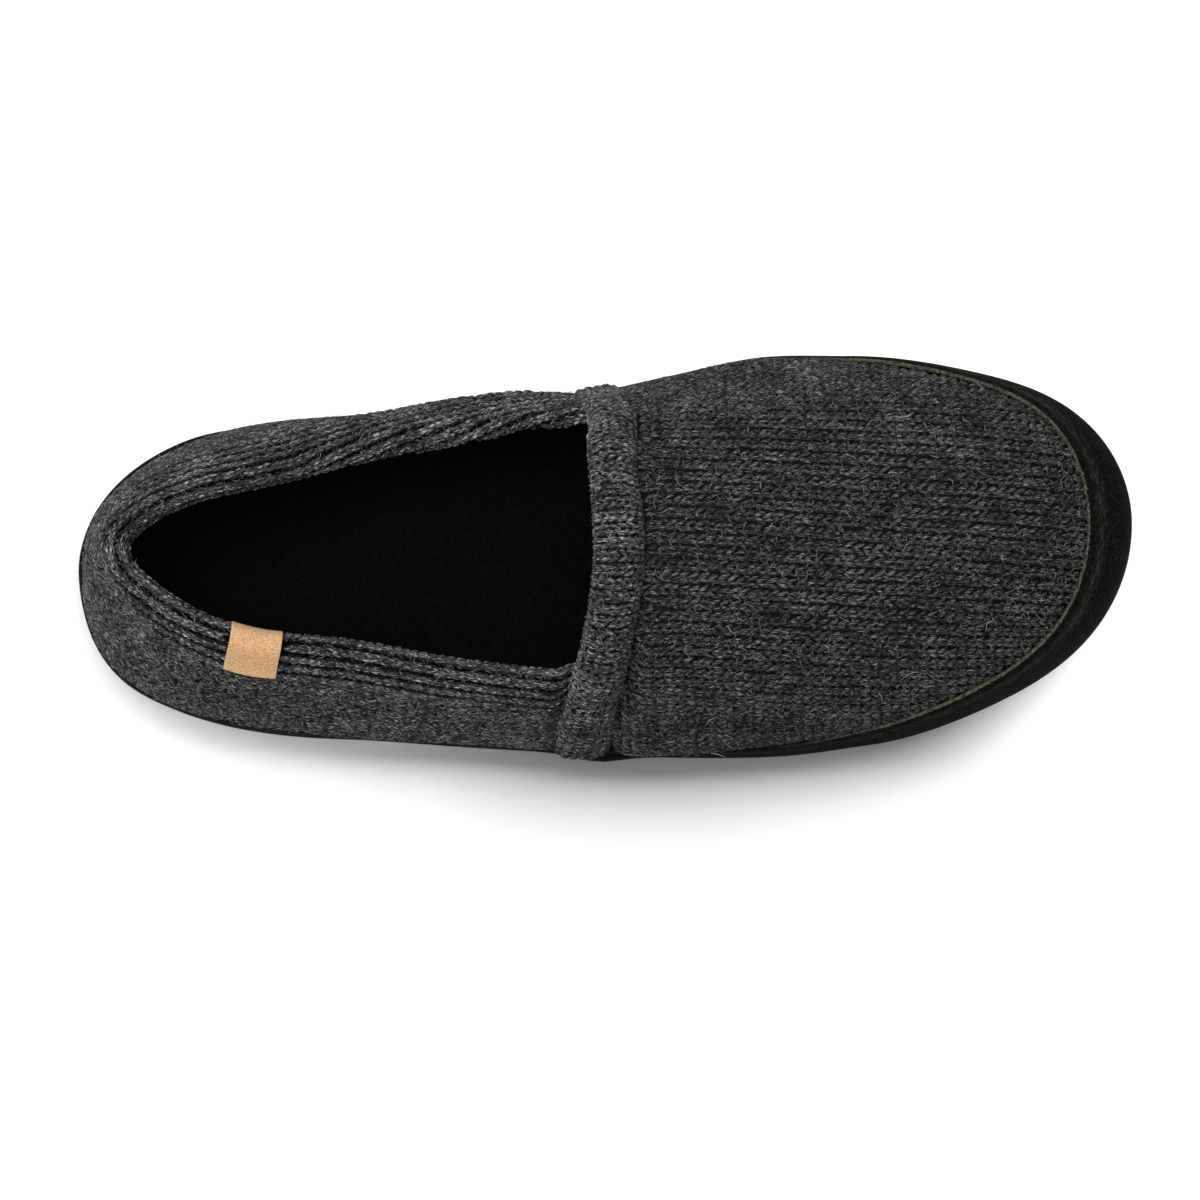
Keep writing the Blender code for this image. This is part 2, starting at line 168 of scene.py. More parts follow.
@dataclass(frozen=True)
class WoolYarn:
    """Ragg wool: dark and pale fleece spun together, so each leg shows streaks of grey along the twist.

    The streaks stand for bunches of fibres and are about ten times as wide as one fibre, so that they show.
    """

    name: str
    stops: Stops
    fleck: str = "#40322a"
    fibre_width: float = 0.40
    fibre_length: float = 2.2
    patch: float = 9.0
    patch_share: float = 0.2
    # Noise above which a streak is a brown fleck, and the fleck's fineness against a fibre bunch
    rare: float = 0.89
    fleck_scale: float = 0.31
    # Painted shade: share of the colour left at the sunk sides of the legs, standing in for light lost among
    # the fibres
    matted: float = 0.3
    sunk: Pair = (0.15, 0.9)

    def make(self) -> Any:
        """Builds the material.

        Returns:
            The material, which reads the map "yarn" in millimetres and the height "depth" over the ground to
            paint shade on the legs' low sides.
        """
        made, tree, shader = start_material(self.name, {
            "Roughness": 1.0, "Sheen Weight": 0.04, "Sheen Roughness": 0.5, "Specular IOR Level": 0.03})
        yarn = add_node(tree, "UVMap", {"uv_map": "yarn"}, {})
        along = add_node(tree, "Mapping", {}, {
            "Vector": yarn, "Scale": (1 / self.fibre_length, 1 / self.fibre_width, 1.0)})
        fibre = add_node(tree, "TexNoise", {}, {
            "Vector": along, "Scale": 1.0, "Detail": 3.0, "Roughness": 0.7})
        place = add_node(tree, "TexCoord", {}, {})
        patch = add_node(tree, "TexNoise", {}, {
            "Vector": place.outputs["Object"], "Scale": 1 / (self.patch * MM), "Detail": 3.0})
        lift = add_node(tree, "Math", {"operation": "MULTIPLY_ADD"}, {
            0: patch, 1: self.patch_share, 2: -self.patch_share / 2})
        mixed = add_node(tree, "Math", {"operation": "ADD"}, {0: fibre, 1: lift})
        grey = add_node(tree, "ValToRGB", {"stops": self.stops}, {"Fac": mixed})
        rare = add_node(tree, "TexNoise", {}, {"Vector": along, "Scale": self.fleck_scale, "Detail": 0.0})
        pick = add_node(tree, "Math", {"operation": "GREATER_THAN"}, {0: rare, 1: self.rare})
        colour = add_node(tree, "Mix", {"data_type": "RGBA"}, {0: pick, 6: grey, 7: linear(self.fleck)})
        # Painted shade: the legs' low sides, and on the ropes a wale's edges, are darkened by the height
        # "depth"
        depth = add_node(tree, "Attribute", {"attribute_name": "depth"}, {})
        shade = add_node(tree, "MapRange", {"interpolation_type": "SMOOTHSTEP"}, {
            "Value": depth.outputs["Fac"], "From Min": self.sunk[0], "From Max": self.sunk[1],
            "To Min": self.matted, "To Max": 1.0})
        sunk = add_node(tree, "Mix", {"data_type": "RGBA", "blend_type": "MULTIPLY"}, {
            0: 1.0, 6: colour.outputs[2], 7: shade})
        close_material(tree, shader, sunk.outputs[2], fibre, 1.0, 0.5)
        return made


# Tones partly the wool's own and partly painted light: darkest on the vamp, which faces away from the light,
# paler on the lit wall and cuff; the ropes have the palest crowns and the darkest painted shade on their
# sides
VAMP_YARN = WoolYarn("ragg_wool_vamp", (
    (0.35, "#030303"), (0.46, "#171718"), (0.54, "#323234"), (0.67, "#858587")), matted=0.45)
ROPE_YARN = WoolYarn("ragg_wool_collar", (
    (0.35, "#040404"), (0.46, "#1d1d1f"), (0.54, "#464648"), (0.67, "#a8a8aa")), matted=0.12)
WALL_YARN = WoolYarn("ragg_wool_wall", (
    (0.33, "#040404"), (0.45, "#181819"), (0.54, "#3b3b3c"), (0.66, "#959596")), matted=0.4)
CUFF_YARN = WoolYarn("ragg_wool_cuff", (
    (0.34, "#050505"), (0.46, "#202021"), (0.54, "#474748"), (0.66, "#a6a6a7")))


@dataclass(frozen=True)
class WoolFibre:
    """Single wool hairs that stand off the knit: pale, a little glossy, some of them dark or brown."""

    name: str = "loose_wool_fibre"
    stops: Stops = (
        (0.0, "#161617"), (0.35, "#4e4d4b"), (0.72, "#8b8a88"), (0.93, "#bdbbb7"), (0.97, "#4d3a2c"))

    def make(self) -> Any:
        """Builds the material, whose shade comes from each hair's own place on the map "hair".

        Returns:
            The material.
        """
        made, tree, shader = start_material(self.name, {"Roughness": 0.7, "Specular IOR Level": 0.15})
        hair = add_node(tree, "UVMap", {"uv_map": "hair"}, {})
        parts = add_node(tree, "SeparateXYZ", {}, {"Vector": hair})
        shade = add_node(tree, "ValToRGB", {"stops": self.stops}, {"Fac": parts})
        tree.links.new(shade.outputs["Color"], shader.inputs["Base Color"])
        return made


@dataclass(frozen=True)
class Suede:
    """Split leather with a short nap: matt black specks, and paler creases where it is pulled."""

    name: str = "black_split_suede"
    stops: Stops = (
        (0.38, "#020202"), (0.52, "#0b0b0b"), (0.64, "#222120"), (0.74, "#393836"))
    creased: str = "#383734"
    line: str = "#45433d"
    line_start: Pair = (55.0, 115.0)
    streak_length: float = 3.2
    streak_width: float = 0.5
    nap: float = 0.7
    # Depth below the edge that the zones run over, and the shares of it with creases and with two worn lines
    depth: float = 9.0
    creased_zone: Stops = (
        (0.14, "#222222"), (0.28, "#ffffff"), (0.55, "#ffffff"), (0.85, "#000000"))
    line_zone: Stops = (
        (0.44, "#000000"), (0.47, "#ffffff"), (0.50, "#000000"),
        (0.55, "#000000"), (0.575, "#aaaaaa"), (0.60, "#000000"))
    pull: Pair = (0.46, 0.70)

    def make(self) -> Any:
        """Builds the material, which reads the map "band" in millimetres along the rand and down.

        Returns:
            The material.
        """
        made, tree, shader = start_material(self.name, {"Roughness": 0.95, "Specular IOR Level": 0.03})
        band = add_node(tree, "UVMap", {"uv_map": "band"}, {})
        along = add_node(tree, "Mapping", {}, {
            "Vector": band, "Scale": (1 / self.streak_length, 1 / self.streak_width, 1.0)})
        streak = add_node(tree, "TexNoise", {}, {
            "Vector": along, "Scale": 1.0, "Detail": 3.0, "Roughness": 0.6, "Distortion": 0.6})
        parts = add_node(tree, "SeparateXYZ", {}, {"Vector": band})
        down = add_node(tree, "Math", {"operation": "MULTIPLY"}, {
            0: parts.outputs["Y"], 1: -1 / self.depth})
        zone = add_node(tree, "ValToRGB", {"stops": self.creased_zone}, {"Fac": down})
        pulled = add_node(tree, "MapRange", {"interpolation_type": "SMOOTHSTEP"}, {
            "Value": streak, "From Min": self.pull[0], "From Max": self.pull[1]})
        share = add_node(tree, "Math", {"operation": "MULTIPLY"}, {0: pulled, 1: zone})
        place = add_node(tree, "TexCoord", {}, {})
        nap = add_node(tree, "TexNoise", {}, {
            "Vector": place.outputs["Object"], "Scale": 1 / (self.nap * MM), "Detail": 4.0,
            "Roughness": 0.75})
        shade = add_node(tree, "ValToRGB", {"stops": self.stops}, {"Fac": nap})
        colour = add_node(tree, "Mix", {"data_type": "RGBA"}, {0: share, 6: shade, 7: linear(self.creased)})
        pair = add_node(tree, "ValToRGB", {"stops": self.line_zone}, {"Fac": down})
        axes = add_node(tree, "SeparateXYZ", {}, {"Vector": place.outputs["Object"]})
        front = add_node(tree, "MapRange", {"interpolation_type": "SMOOTHSTEP"}, {
            "Value": axes, "From Min": self.line_start[0] * MM, "From Max": self.line_start[1] * MM})
        drawn = add_node(tree, "Math", {"operation": "MULTIPLY"}, {0: pair, 1: front})
        worn = add_node(tree, "Math", {"operation": "MULTIPLY"}, {0: drawn, 1: streak})
        lined = add_node(tree, "Mix", {"data_type": "RGBA"}, {
            0: worn, 6: colour.outputs[2], 7: linear(self.line)})
        mixed = add_node(tree, "Math", {"operation": "ADD"}, {0: nap, 1: share})
        close_material(tree, shader, lined.outputs[2], mixed, 0.7, 0.3)
        return made


@dataclass(frozen=True)
class RawEdge:
    """Cut edge of the suede: olive grey and fibrous round the toe, near black along the sides and heel."""

    name: str = "raw_suede_edge"
    dark: str = "#22211b"
    pale: str = "#4f4c41"
    # Colour of the edge behind the ball of the foot
    sides_dark: str = "#090908"
    grain: float = 0.9
    fade: Pair = (35.0, 75.0)

    def make(self) -> Any:
        """Builds the material, which turns olive from the ball of the foot to the toe.

        Returns:
            The material.
        """
        made, tree, shader = start_material(self.name, {"Roughness": 0.95, "Specular IOR Level": 0.05})
        place = add_node(tree, "TexCoord", {}, {})
        grain = add_node(tree, "TexNoise", {}, {
            "Vector": place.outputs["Object"], "Scale": 1 / (self.grain * MM), "Detail": 4.0})
        shade = add_node(tree, "ValToRGB", {"stops": ((0.36, self.dark), (0.66, self.pale))}, {
            "Fac": grain})
        parts = add_node(tree, "SeparateXYZ", {}, {"Vector": place.outputs["Object"]})
        front = add_node(tree, "MapRange", {"interpolation_type": "SMOOTHSTEP"}, {
            "Value": parts, "From Min": self.fade[0] * MM, "From Max": self.fade[1] * MM})
        colour = add_node(tree, "Mix", {"data_type": "RGBA"}, {0: front, 6: linear(self.sides_dark), 7: shade})
        close_material(tree, shader, colour.outputs[2], grain, 0.7, 0.3)
        return made


@dataclass(frozen=True)
class GrainedSkin:
    """A skin with a two-tone grain and a bump of it, for matted wool, fleece, rubber, tape and the floor."""

    name: str
    dark: str
    pale: str
    grain: float
    depth: float
    roughness: float = 1.0
    shine: float = 0.02
    sheen: float = 0.0
    # Noise at which the grain is darkest and palest
    spread: Pair = (0.35, 0.68)
    detail: float = 4.0
    crumble: float = 0.6
    relief: float = 0.6

    def make(self) -> Any:
        """Builds the material.

        Returns:
            The material.
        """
        made, tree, shader = start_material(self.name, {
            "Roughness": self.roughness, "Specular IOR Level": self.shine, "Sheen Weight": self.sheen,
            "Sheen Roughness": 0.6})
        place = add_node(tree, "TexCoord", {}, {})
        grain = add_node(tree, "TexNoise", {}, {
            "Vector": place.outputs["Object"], "Scale": 1 / (self.grain * MM), "Detail": self.detail,
            "Roughness": self.crumble})
        stops = tuple(zip(self.spread, (self.dark, self.pale)))
        shade = add_node(tree, "ValToRGB", {"stops": stops}, {"Fac": grain})
        close_material(tree, shader, shade.outputs["Color"], grain, self.relief, self.depth)
        return made


# Moulded rubber with a fine matt grain and a faint bloom
RUBBER = GrainedSkin("moulded_black_rubber", "#040404", "#0f0e0d", 1.4, 0.12, roughness=0.8, shine=0.1)
# Micro-suede tape: warm tan with a short even nap
TAPE = GrainedSkin(
    "tan_micro_suede", "#9a7550", "#c19d77", 0.45, 0.12, roughness=0.9, shine=0.1, spread=(0.36, 0.62))
# Painted studio floor
FLOOR = GrainedSkin("white_studio_floor", "#f4f4f4", "#f7f7f7", 40.0, 0.0, roughness=0.9, shine=0.1)
# Matted wool behind the stitches, seen only between the legs: nearly black, partly painted shade for the gaps
FELT = GrainedSkin(
    "wool_ground_and_painted_shade", "#080808", "#202021", 0.6, 0.3,
    spread=(0.4, 0.75), detail=3.0, crumble=0.5, relief=0.8)
# Brushed polyester fleece: a deep black pile that breaks into small soft nubs
LINING = GrainedSkin(
    "black_fleece_lining", "#010101", "#050505", 1.1, 0.5,
    sheen=0.01, spread=(0.35, 0.72), crumble=0.65, relief=1.0)
FOOTBED = replace(LINING, name="black_fleece_footbed", pale="#070707", grain=0.9)


@dataclass(frozen=True)
class Table:
    """Rows of sizes by station, read on a smooth curve through them."""

    columns: tuple[str, ...]
    rows: Rows

    def at(self, column: str, station: Array) -> Array:
        """Reads a column at any station.

        Args:
            column: name of the column.
            station: places along the first column.

        Returns:
            The column's values there.
        """
        data = np.array(self.rows, float)
        knots, values = data[:, 0], data[:, self.columns.index(column)]
        spans = np.diff(knots)
        slopes = np.diff(values) / spans
        tangents = np.concatenate([slopes[:1], np.zeros(len(slopes) - 1), slopes[-1:]])
        tangents[1:-1] = (slopes[:-1] * spans[1:] + slopes[1:] * spans[:-1]) / (spans[1:] + spans[:-1])
        at = np.clip(station, knots[0], knots[-1])
        i = np.clip(np.searchsorted(knots, at, side="right") - 1, 0, len(spans) - 1)
        x = (at - knots[i]) / spans[i]
        rise = (3 - 2 * x) * x * x
        bend = spans[i] * x * (1 - x) * ((1 - x) * tangents[i] - x * tangents[i + 1])
        return values[i] * (1 - rise) + values[i + 1] * rise + bend


def length_of(vectors: Array) -> Array:
    """Lengths of vectors."""
    return np.linalg.norm(vectors, axis=-1)


def unit(vectors: Array) -> Array:
    """Vectors of length one in the same directions."""
    return vectors / np.maximum(np.linalg.norm(vectors, axis=-1, keepdims=True), 1e-9)


def summed(steps: Array) -> Array:
    """Running length over a row of steps, from 0."""
    return np.concatenate([[0], np.cumsum(steps)])


def ease(at: Array, start: Any, end: Any) -> Array:
    """Climbs smoothly from 0 at start to 1 at end."""
    x = np.clip((at - start) / (end - start), 0, 1)
    return x * x * (3 - 2 * x)


@dataclass(frozen=True)
class Crease:
    """A soft trough, or a ridge where its depth is negative, along a line of plan points of the shoe."""

    path: Rows
    width: float
    depth: float

    def lift(self, points: Array) -> Array:
        """Height that the crease adds at each point.

        Args:
            points: places on the last in millimetres.

        Returns:
            Height along the outward normal in millimetres.
        """
        plan = points[..., :2]
        nearest = np.full(plan.shape[:-1], np.inf)
        for start, end in zip(self.path, self.path[1:]):
            run = np.subtract(end, start)
            share = np.clip(((plan - start) @ run) / (run @ run), 0, 1)
            nearest = np.minimum(nearest, length_of(plan - start - share[..., None] * run))
        return -self.depth * np.exp(-((nearest / self.width) ** 2))


@dataclass(frozen=True)
class Last:
    """The slipper's own form: an outline of the sole and a surface that rises from it to a ridge."""

    length: float = 290.0
    sole_thickness: float = 7.0
    seat_gap: float = 0.3
    upper_inset: float = 1.9
    wall: float = 3.6
    collar_wall: float = 7.0
    throat_wall: float = 4.6
    taper_wall: float = 3.6
    # Shares of the way to the collar between which the wall thickens into the roll
    roll_run: Pair = (0.45, 0.95)
    throat_taper: Pair = (98.0, 134.0)
    toe_spring: float = 8.0
    toe_spring_start: float = 205.0
    heel_reach: float = 70.0
    heel_round: float = 2.2
    toe_reach: float = 75.0
    toe_round: float = 1.98
    toe_swing: float = 2.5
    toe_swing_start: float = 190.0
    throat: float = 143.0
    heel_centre: float = 72.0
    toe_centre: float = 238.0
    throats: Pair = (130.0, 138.0)
    hem_foot: float = 11.5
    hem_rise: float = 13.0
    ridge_joins_outline: float = 195.0
    toe_fan_start: float = 244.0
    sections: Table = Table(
        ("station", "lateral", "medial", "lateral_bulge", "medial_bulge"),
        ((0.0, 46.0, 46.0, 1.0, 1.0), (35.0, 44.6, 44.2, 1.2, 1.2), (70.0, 46.2, 43.0, 1.5, 2.6),
         (105.0, 50.6, 43.2, 1.5, 5.2), (125.0, 52.9, 43.7, 1.5, 5.0), (140.0, 54.5, 44.8, 1.5, 3.6),
         (165.0, 56.8, 48.6, 1.5, 2.9), (190.0, 57.8, 52.6, 1.4, 1.8), (215.0, 56.4, 51.4, 1.2, 1.2),
         (250.0, 54.8, 49.2, 1.0, 1.0), (290.0, 59.0, 54.0, 1.0, 1.0)))
    ridge: Table = Table(
        ("station", "crown", "pitch", "fullness", "sweep"),
        ((105.0, 75.5, 0.0, 2.0, 1.0), (143.0, 75.5, 0.0, 2.0, 1.8), (166.0, 72.0, -0.22, 2.1, 1.4),
         (190.0, 65.5, -0.29, 2.25, 1.0), (215.0, 58.8, -0.28, 2.4, 1.0), (238.0, 52.8, -0.25, 2.6, 1.0)))
    collar: Table = Table(
        ("percent", "height", "reach", "fullness"),
        ((0.0, 58.0, 0.840, 2.5), (3.0, 57.5, 0.770, 2.5), (8.0, 56.5, 0.705, 2.4),
         (15.0, 55.0, 0.665, 2.3), (30.0, 51.5, 0.640, 2.1), (46.0, 49.0, 0.650, 2.0),
         (62.0, 47.5, 0.690, 2.0), (77.0, 47.5, 0.730, 2.0), (92.0, 49.3, 0.762, 2.0),
         (100.0, 50.4, 0.775, 2.0)))
    rand_top: Table = Table(
        ("station", "height"),
        ((0.0, 17.0), (60.0, 16.0), (140.0, 16.5), (190.0, 20.5), (229.0, 27.5), (260.0, 31.0),
         (290.0, 35.5)))
    creases: tuple[Crease, ...] = (
        # Groove in front of the cuff, from the lateral rand over the instep to the medial rand
        Crease(((144.8, -47.3), (149.6, -33.0), (154.6, -12.1), (155.9, 0.0), (155.3, 10.9), (153.2, 29.5)),
               4.2, 2.5),
        Crease(((143.0, -53.0), (147.3, -41.5), (151.0, -28.0)), 1.9, 1.5),
        # Tuck behind the cuff's lateral foot, and the fold across that foot
        Crease(((130.8, -40.5), (127.6, -48.5)), 1.8, 2.6),
        Crease(((131.5, -42.0), (146.0, -43.2)), 1.6, 1.4),
        # Slack of the vamp behind the ball of the foot, and of the quarter below the lateral collar
        Crease(((168.0, -50.0), (196.0, -54.0)), 9.0, 0.5),
        Crease(((60.0, -42.0), (112.0, -46.0)), 10.0, 0.5),
    )
    # Swell of the knit over the rand's top edge on each side, and the height over it where it is fullest
    swells: Table = Table(
        ("station", "lateral", "medial", "lateral_height", "medial_height"),
        ((0.0, 1.0, 0.8, 2.5, 4.0), (7.0, 2.1, 0.5, 2.2, 4.0), (19.0, 1.9, 0.6, 2.0, 4.0),
         (33.0, 1.5, 0.7, 1.5, 4.0), (47.0, 1.2, 0.8, 1.5, 4.0), (61.0, 1.9, 0.8, 1.5, 5.0),
         (74.0, 2.6, 0.5, 1.5, 8.0), (88.0, 2.6, 0.8, 1.5, 12.0), (97.0, 2.1, 1.5, 1.5, 15.0),
         (107.0, 2.0, 2.1, 1.5, 16.0), (118.0, 2.1, 2.6, 1.5, 16.0), (129.0, 1.9, 1.9, 1.5, 14.0),
         (140.0, 1.8, 0.6, 2.0, 8.0), (147.0, 2.8, 0.4, 2.5, 6.0), (154.0, 2.7, 0.3, 3.0, 4.0),
         (165.0, 2.3, 0.5, 3.0, 4.0), (175.0, 1.7, 0.8, 3.0, 4.0), (187.0, 1.0, 0.9, 4.0, 4.0),
         (205.0, 0.8, 0.5, 4.0, 4.0), (225.0, 0.3, 0.1, 4.0, 4.0), (240.0, 0.0, 0.0, 4.0, 4.0),
         (290.0, 0.0, 0.0, 4.0, 4.0)))
    # Where the lateral sizes pass into the medial ones, for the swell, the sway and the lean at the heel
    swell_sides: Pair = (-12.0, 25.0)
    sway_sides: Pair = (-12.0, 12.0)
    lean_sides: Pair = (-12.0, 6.0)
    # Reach of the swell over and under its fullest height
    swell_reach: Pair = (10.0, 4.5)
    # How far the collar leans back at the heel, on the lateral and the medial side, and where that ends
    heel_leans: Pair = (1.0, 3.4)
    heel_lean_end: Pair = (20.0, 50.0)
    # Station and height of the throat's medial corner, its pull to the toe, and the reach and side of that
    throat_lean: Triple = (146.0, 55.0, 3.0)
    throat_lean_reach: Pair = (14.0, 10.0)
    throat_lean_side: Pair = (8.0, 20.0)
    # How far the soft collar leans to the medial side, by station on each side
    sways: Table = Table(
        ("station", "lateral", "medial"),
        ((0.0, 2.6, 2.6), (18.0, 2.4, 2.6), (28.0, 0.8, 2.5), (38.0, 0.1, 2.0), (50.0, 0.4, 0.8),
         (60.0, 1.4, 0.8), (72.0, 1.8, 1.5), (84.0, 1.3, 1.7), (97.0, 0.6, 0.8), (112.0, 0.0, 0.0),
         (290.0, 0.0, 0.0)))
    sway_heights: Pair = (22.0, 46.0)
    swell_end: Pair = (195.0, 236.0)

    def station_of(self, turn: Array) -> Array:
        """Station of a turn: 0 at the heel, 1 at the toe by the lateral side, 2 back by the medial side."""
        return self.length * (1 - np.cos(np.pi * turn)) / 2

    def turn_of(self, station: Array, side: Side = Side.LATERAL) -> Array:
        """Turn of a station on one side."""
        turn = np.arccos(1 - 2 * np.asarray(station, float) / self.length) / np.pi
        return 2 - turn if side is Side.MEDIAL else turn

    def is_medial(self, turn: Array) -> Array:
        """True where a turn is on the medial side."""
        return np.mod(turn, 2) > 1

    def sole_edge(self, turn: Array) -> Array:
        """Plan points of the sole's outline.

        Args:
            turn: place round the outline.

        Returns:
            Points in millimetres.
        """
        x = self.station_of(turn)
        medial = self.is_medial(turn)
        width = np.where(medial, self.sections.at("medial", x), self.sections.at("lateral", x))
        heel = np.clip(1 - x / self.heel_reach, 0, 1)
        toe = np.clip(1 - (self.length - x) / self.toe_reach, 0, 1)
        width = width * (1 - heel**self.heel_round) ** (1 / self.heel_round)
        width = width * (1 - toe**self.toe_round) ** (1 / self.toe_round)
        middle = self.toe_swing * ease(x, self.toe_swing_start, self.length)
        return np.stack([x, middle + np.where(medial, width, -width)], axis=-1)

    def outline(self, turn: Array, inset: Any) -> Array:
        """Plan points at an even distance inside the sole's outline.

        Args:
            turn: place round the outline.
            inset: distance inward in millimetres.

        Returns:
            Points in millimetres.
        """
        turn = np.asarray(turn, float)
        along = self.sole_edge(turn + STEP) - self.sole_edge(turn - STEP)
        along /= np.linalg.norm(along, axis=-1, keepdims=True)
        inward = np.stack([-along[..., 1], along[..., 0]], axis=-1)
        return self.sole_edge(turn) + np.asarray(inset)[..., None] * inward

    def toe_lift(self, x: Array) -> Array:
        """How far the toe spring lifts the sole at a station."""
        share = (x - self.toe_spring_start) / (self.length - self.toe_spring_start)
        return self.toe_spring * np.clip(share, 0, None) ** 2

    def seat_height(self, x: Array) -> Array:
        """Height at which the upper, the rand and the footbed stand just clear of the sole."""
        return self.sole_thickness + self.seat_gap + self.toe_lift(x)

    def ridge_station(self, turn: Array) -> Array:
        """Station of the ridge that the section at this turn climbs to.

        Args:
            turn: place round the outline.

        Returns:
            Stations in millimetres.
        """
        x = self.station_of(turn)
        sides = []
        for throat in self.throats:
            reach = Table(("station", "ridge"), (
                (0.0, 0.0), (throat, self.throat), (throat + self.hem_foot, self.throat + self.hem_rise),
                (self.ridge_joins_outline, self.ridge_joins_outline),
                (self.toe_fan_start, self.toe_centre), (self.length, self.toe_centre)))
            sides.append(reach.at("ridge", x))
        return np.where(self.is_medial(turn), sides[1], sides[0])

    def collar_edge(self, turn: Array, column: str) -> Array:
        """A column of the collar table at this turn."""
        throat = np.where(self.is_medial(turn), self.throats[1], self.throats[0])
        return self.collar.at(column, 100 * self.station_of(turn) / throat)

    def crown(self, turn: Array, floor: Array) -> Array:
        """Height of the ridge, or behind the throat the one that takes the wall through the collar.

        Args:
            turn: place round the outline.
            floor: height of the seat there.

        Returns:
            Heights in millimetres.
        """
        ridge = self.ridge_station(turn)
        lean = np.arccos(self.collar_edge(turn, "reach") ** (self.collar_edge(turn, "fullness") / 2))
        behind = floor + (self.collar_edge(turn, "height") - floor) / np.sin(lean)
        return np.where(ridge < self.throat, behind, self.ridge.at("crown", ridge))

    def point(self, turn: Array, climb: Array) -> Array:
        """A point of the last: climb is 0 at the sole and a quarter turn at the ridge.

        Args:
            turn: place round the outline.
            climb: place up the section.

        Returns:
            Points in millimetres.
        """
        foot = self.outline(turn, self.upper_inset)
        ridge = self.ridge_station(turn)
        line = Table(("ridge", "centre"), (
            (0.0, self.heel_centre), (60.0, self.heel_centre + 5.0), (self.throat, self.throat),
            (self.toe_centre, self.toe_centre)))
        top_x = line.at("centre", ridge)
        top_y = self.toe_swing * ease(top_x, self.toe_swing_start, self.length)
        x = self.station_of(turn)
        bulge = np.where(self.is_medial(turn), self.sections.at("medial_bulge", x),
                         self.sections.at("lateral_bulge", x))
        span = np.hypot(foot[..., 0] - top_x, foot[..., 1] - top_y)
        full = np.where(ridge < self.throat, self.collar_edge(turn, "fullness"),
                        self.ridge.at("fullness", ridge))
        lean = np.cos(climb)
        reach = np.sign(lean) * np.abs(lean) ** (2 / full) + bulge / span * np.sin(2 * climb)
        rise = np.sin(climb)
        floor = self.seat_height(np.clip(foot[..., 0], 0, self.length))
        px = top_x + (foot[..., 0] - top_x) * np.sign(reach) * np.abs(reach) ** self.ridge.at("sweep", ridge)
        py = top_y + (foot[..., 1] - top_y) * reach
        pz = floor + (self.crown(turn, floor) - floor) * rise
        pz = pz + self.ridge.at("pitch", ridge) * (px - top_x) * rise
        return np.stack(np.broadcast_arrays(px, py, pz), axis=-1)

    def skin(self, turn: Array, climb: Array, lift: Any = 0.0, creased: float = 1.0) -> Array:
        """A point at a height over the last, along its outward normal, with the creases in it.

        Args:
            turn: place round the outline.
            climb: place up the section.
            lift: height over the last in millimetres.
            creased: share of the creases that the skin follows.

        Returns:
            Points in millimetres.
        """
        turn, climb, lift = np.broadcast_arrays(np.asarray(turn, float), climb, lift)
        point = self.point(turn, climb)
        along = self.point(turn + STEP, climb) - self.point(turn - STEP, climb)
        up = self.point(turn, climb + STEP) - self.point(turn, climb - STEP)
        normal = np.cross(along, up)
        at_pole = length_of(along) < STEP * 1e-3
        pitch = self.ridge.at("pitch", self.ridge_station(turn))
        normal[at_pole] = np.stack([-pitch, 0 * pitch, 1 + 0 * pitch], axis=-1)[at_pole]
        normal /= np.linalg.norm(normal, axis=-1, keepdims=True)
        fold = self.swell(point) + sum(crease.lift(point) for crease in self.creases)
        made = point + (lift + creased * fold)[..., None] * normal
        return made + creased * self.sway(point)

    def sway(self, points: Array) -> Array:
        """How far the soft collar leans to the medial side and back over the heel.

        Args:
            points: places on the last in millimetres.

        Returns:
            Moves in millimetres.
        """
        x, y, z = points[..., 0], points[..., 1], points[..., 2]
        lateral, medial = (self.sways.at(column, x) for column in self.sways.columns[1:])
        across = lateral + (medial - lateral) * ease(y, *self.sway_sides)
        back = self.heel_leans[0] + (self.heel_leans[1] - self.heel_leans[0]) * ease(y, *self.lean_sides)
        back = back * (1 - ease(x, *self.heel_lean_end))
        swayed = np.stack([-back, across, 0 * x], axis=-1) * ease(z, *self.sway_heights)[..., None]
        station, height, forward = self.throat_lean
        along, up = self.throat_lean_reach
        pulled = np.exp(-(((x - station) / along) ** 2) - ((z - height) / up) ** 2)
        swayed[..., 0] += forward * pulled * ease(y, *self.throat_lean_side)
        return swayed

    def swell(self, points: Array) -> Array:
        """How far the knit swells over the rand's top edge behind the toe.

        Args:
            points: places on the last in millimetres.

        Returns:
            Heights in millimetres.
        """
        x, y, z = points[..., 0], points[..., 1], points[..., 2]
        lateral, medial, low, high = (self.swells.at(column, x) for column in self.swells.columns[1:])
        inner = ease(y, *self.swell_sides)
        over = z - self.rand_height(x) - low - (high - low) * inner
        above, under = self.swell_reach
        reach = np.where(over > 0, above, under + (above - under) * inner)
        return (lateral + (medial - lateral) * inner) * np.exp(-((over / reach) ** 2))

    def climb_to(self, turn: Array, height: Array) -> Array:
        """Climb at which the last reaches a height over the floor.

        Args:
            turn: place round the outline.
            height: height over the floor in millimetres.

        Returns:
            Climbs.
        """
        turn = np.asarray(turn, float)
        low, high = np.zeros_like(turn), np.full_like(turn, QUARTER_TURN)
        for _ in range(30):
            middle = (low + high) / 2
            above = self.point(turn, middle)[..., 2] > height
            high = np.where(above, middle, high)
            low = np.where(above, low, middle)
        return low

    def collar_climb(self, turn: Array) -> Array:
        """Climb of the collar's outer edge."""
        return self.climb_to(turn, self.collar_edge(turn, "height"))

    def rand_height(self, x: Array) -> Array:
        """Height of the rand's top edge at a station."""
        return self.rand_top.at("height", x)

    def rand_climb(self, turn: Array) -> Array:
        """Climb of the rand's top edge."""
        return self.climb_to(turn, self.rand_height(self.station_of(turn)))

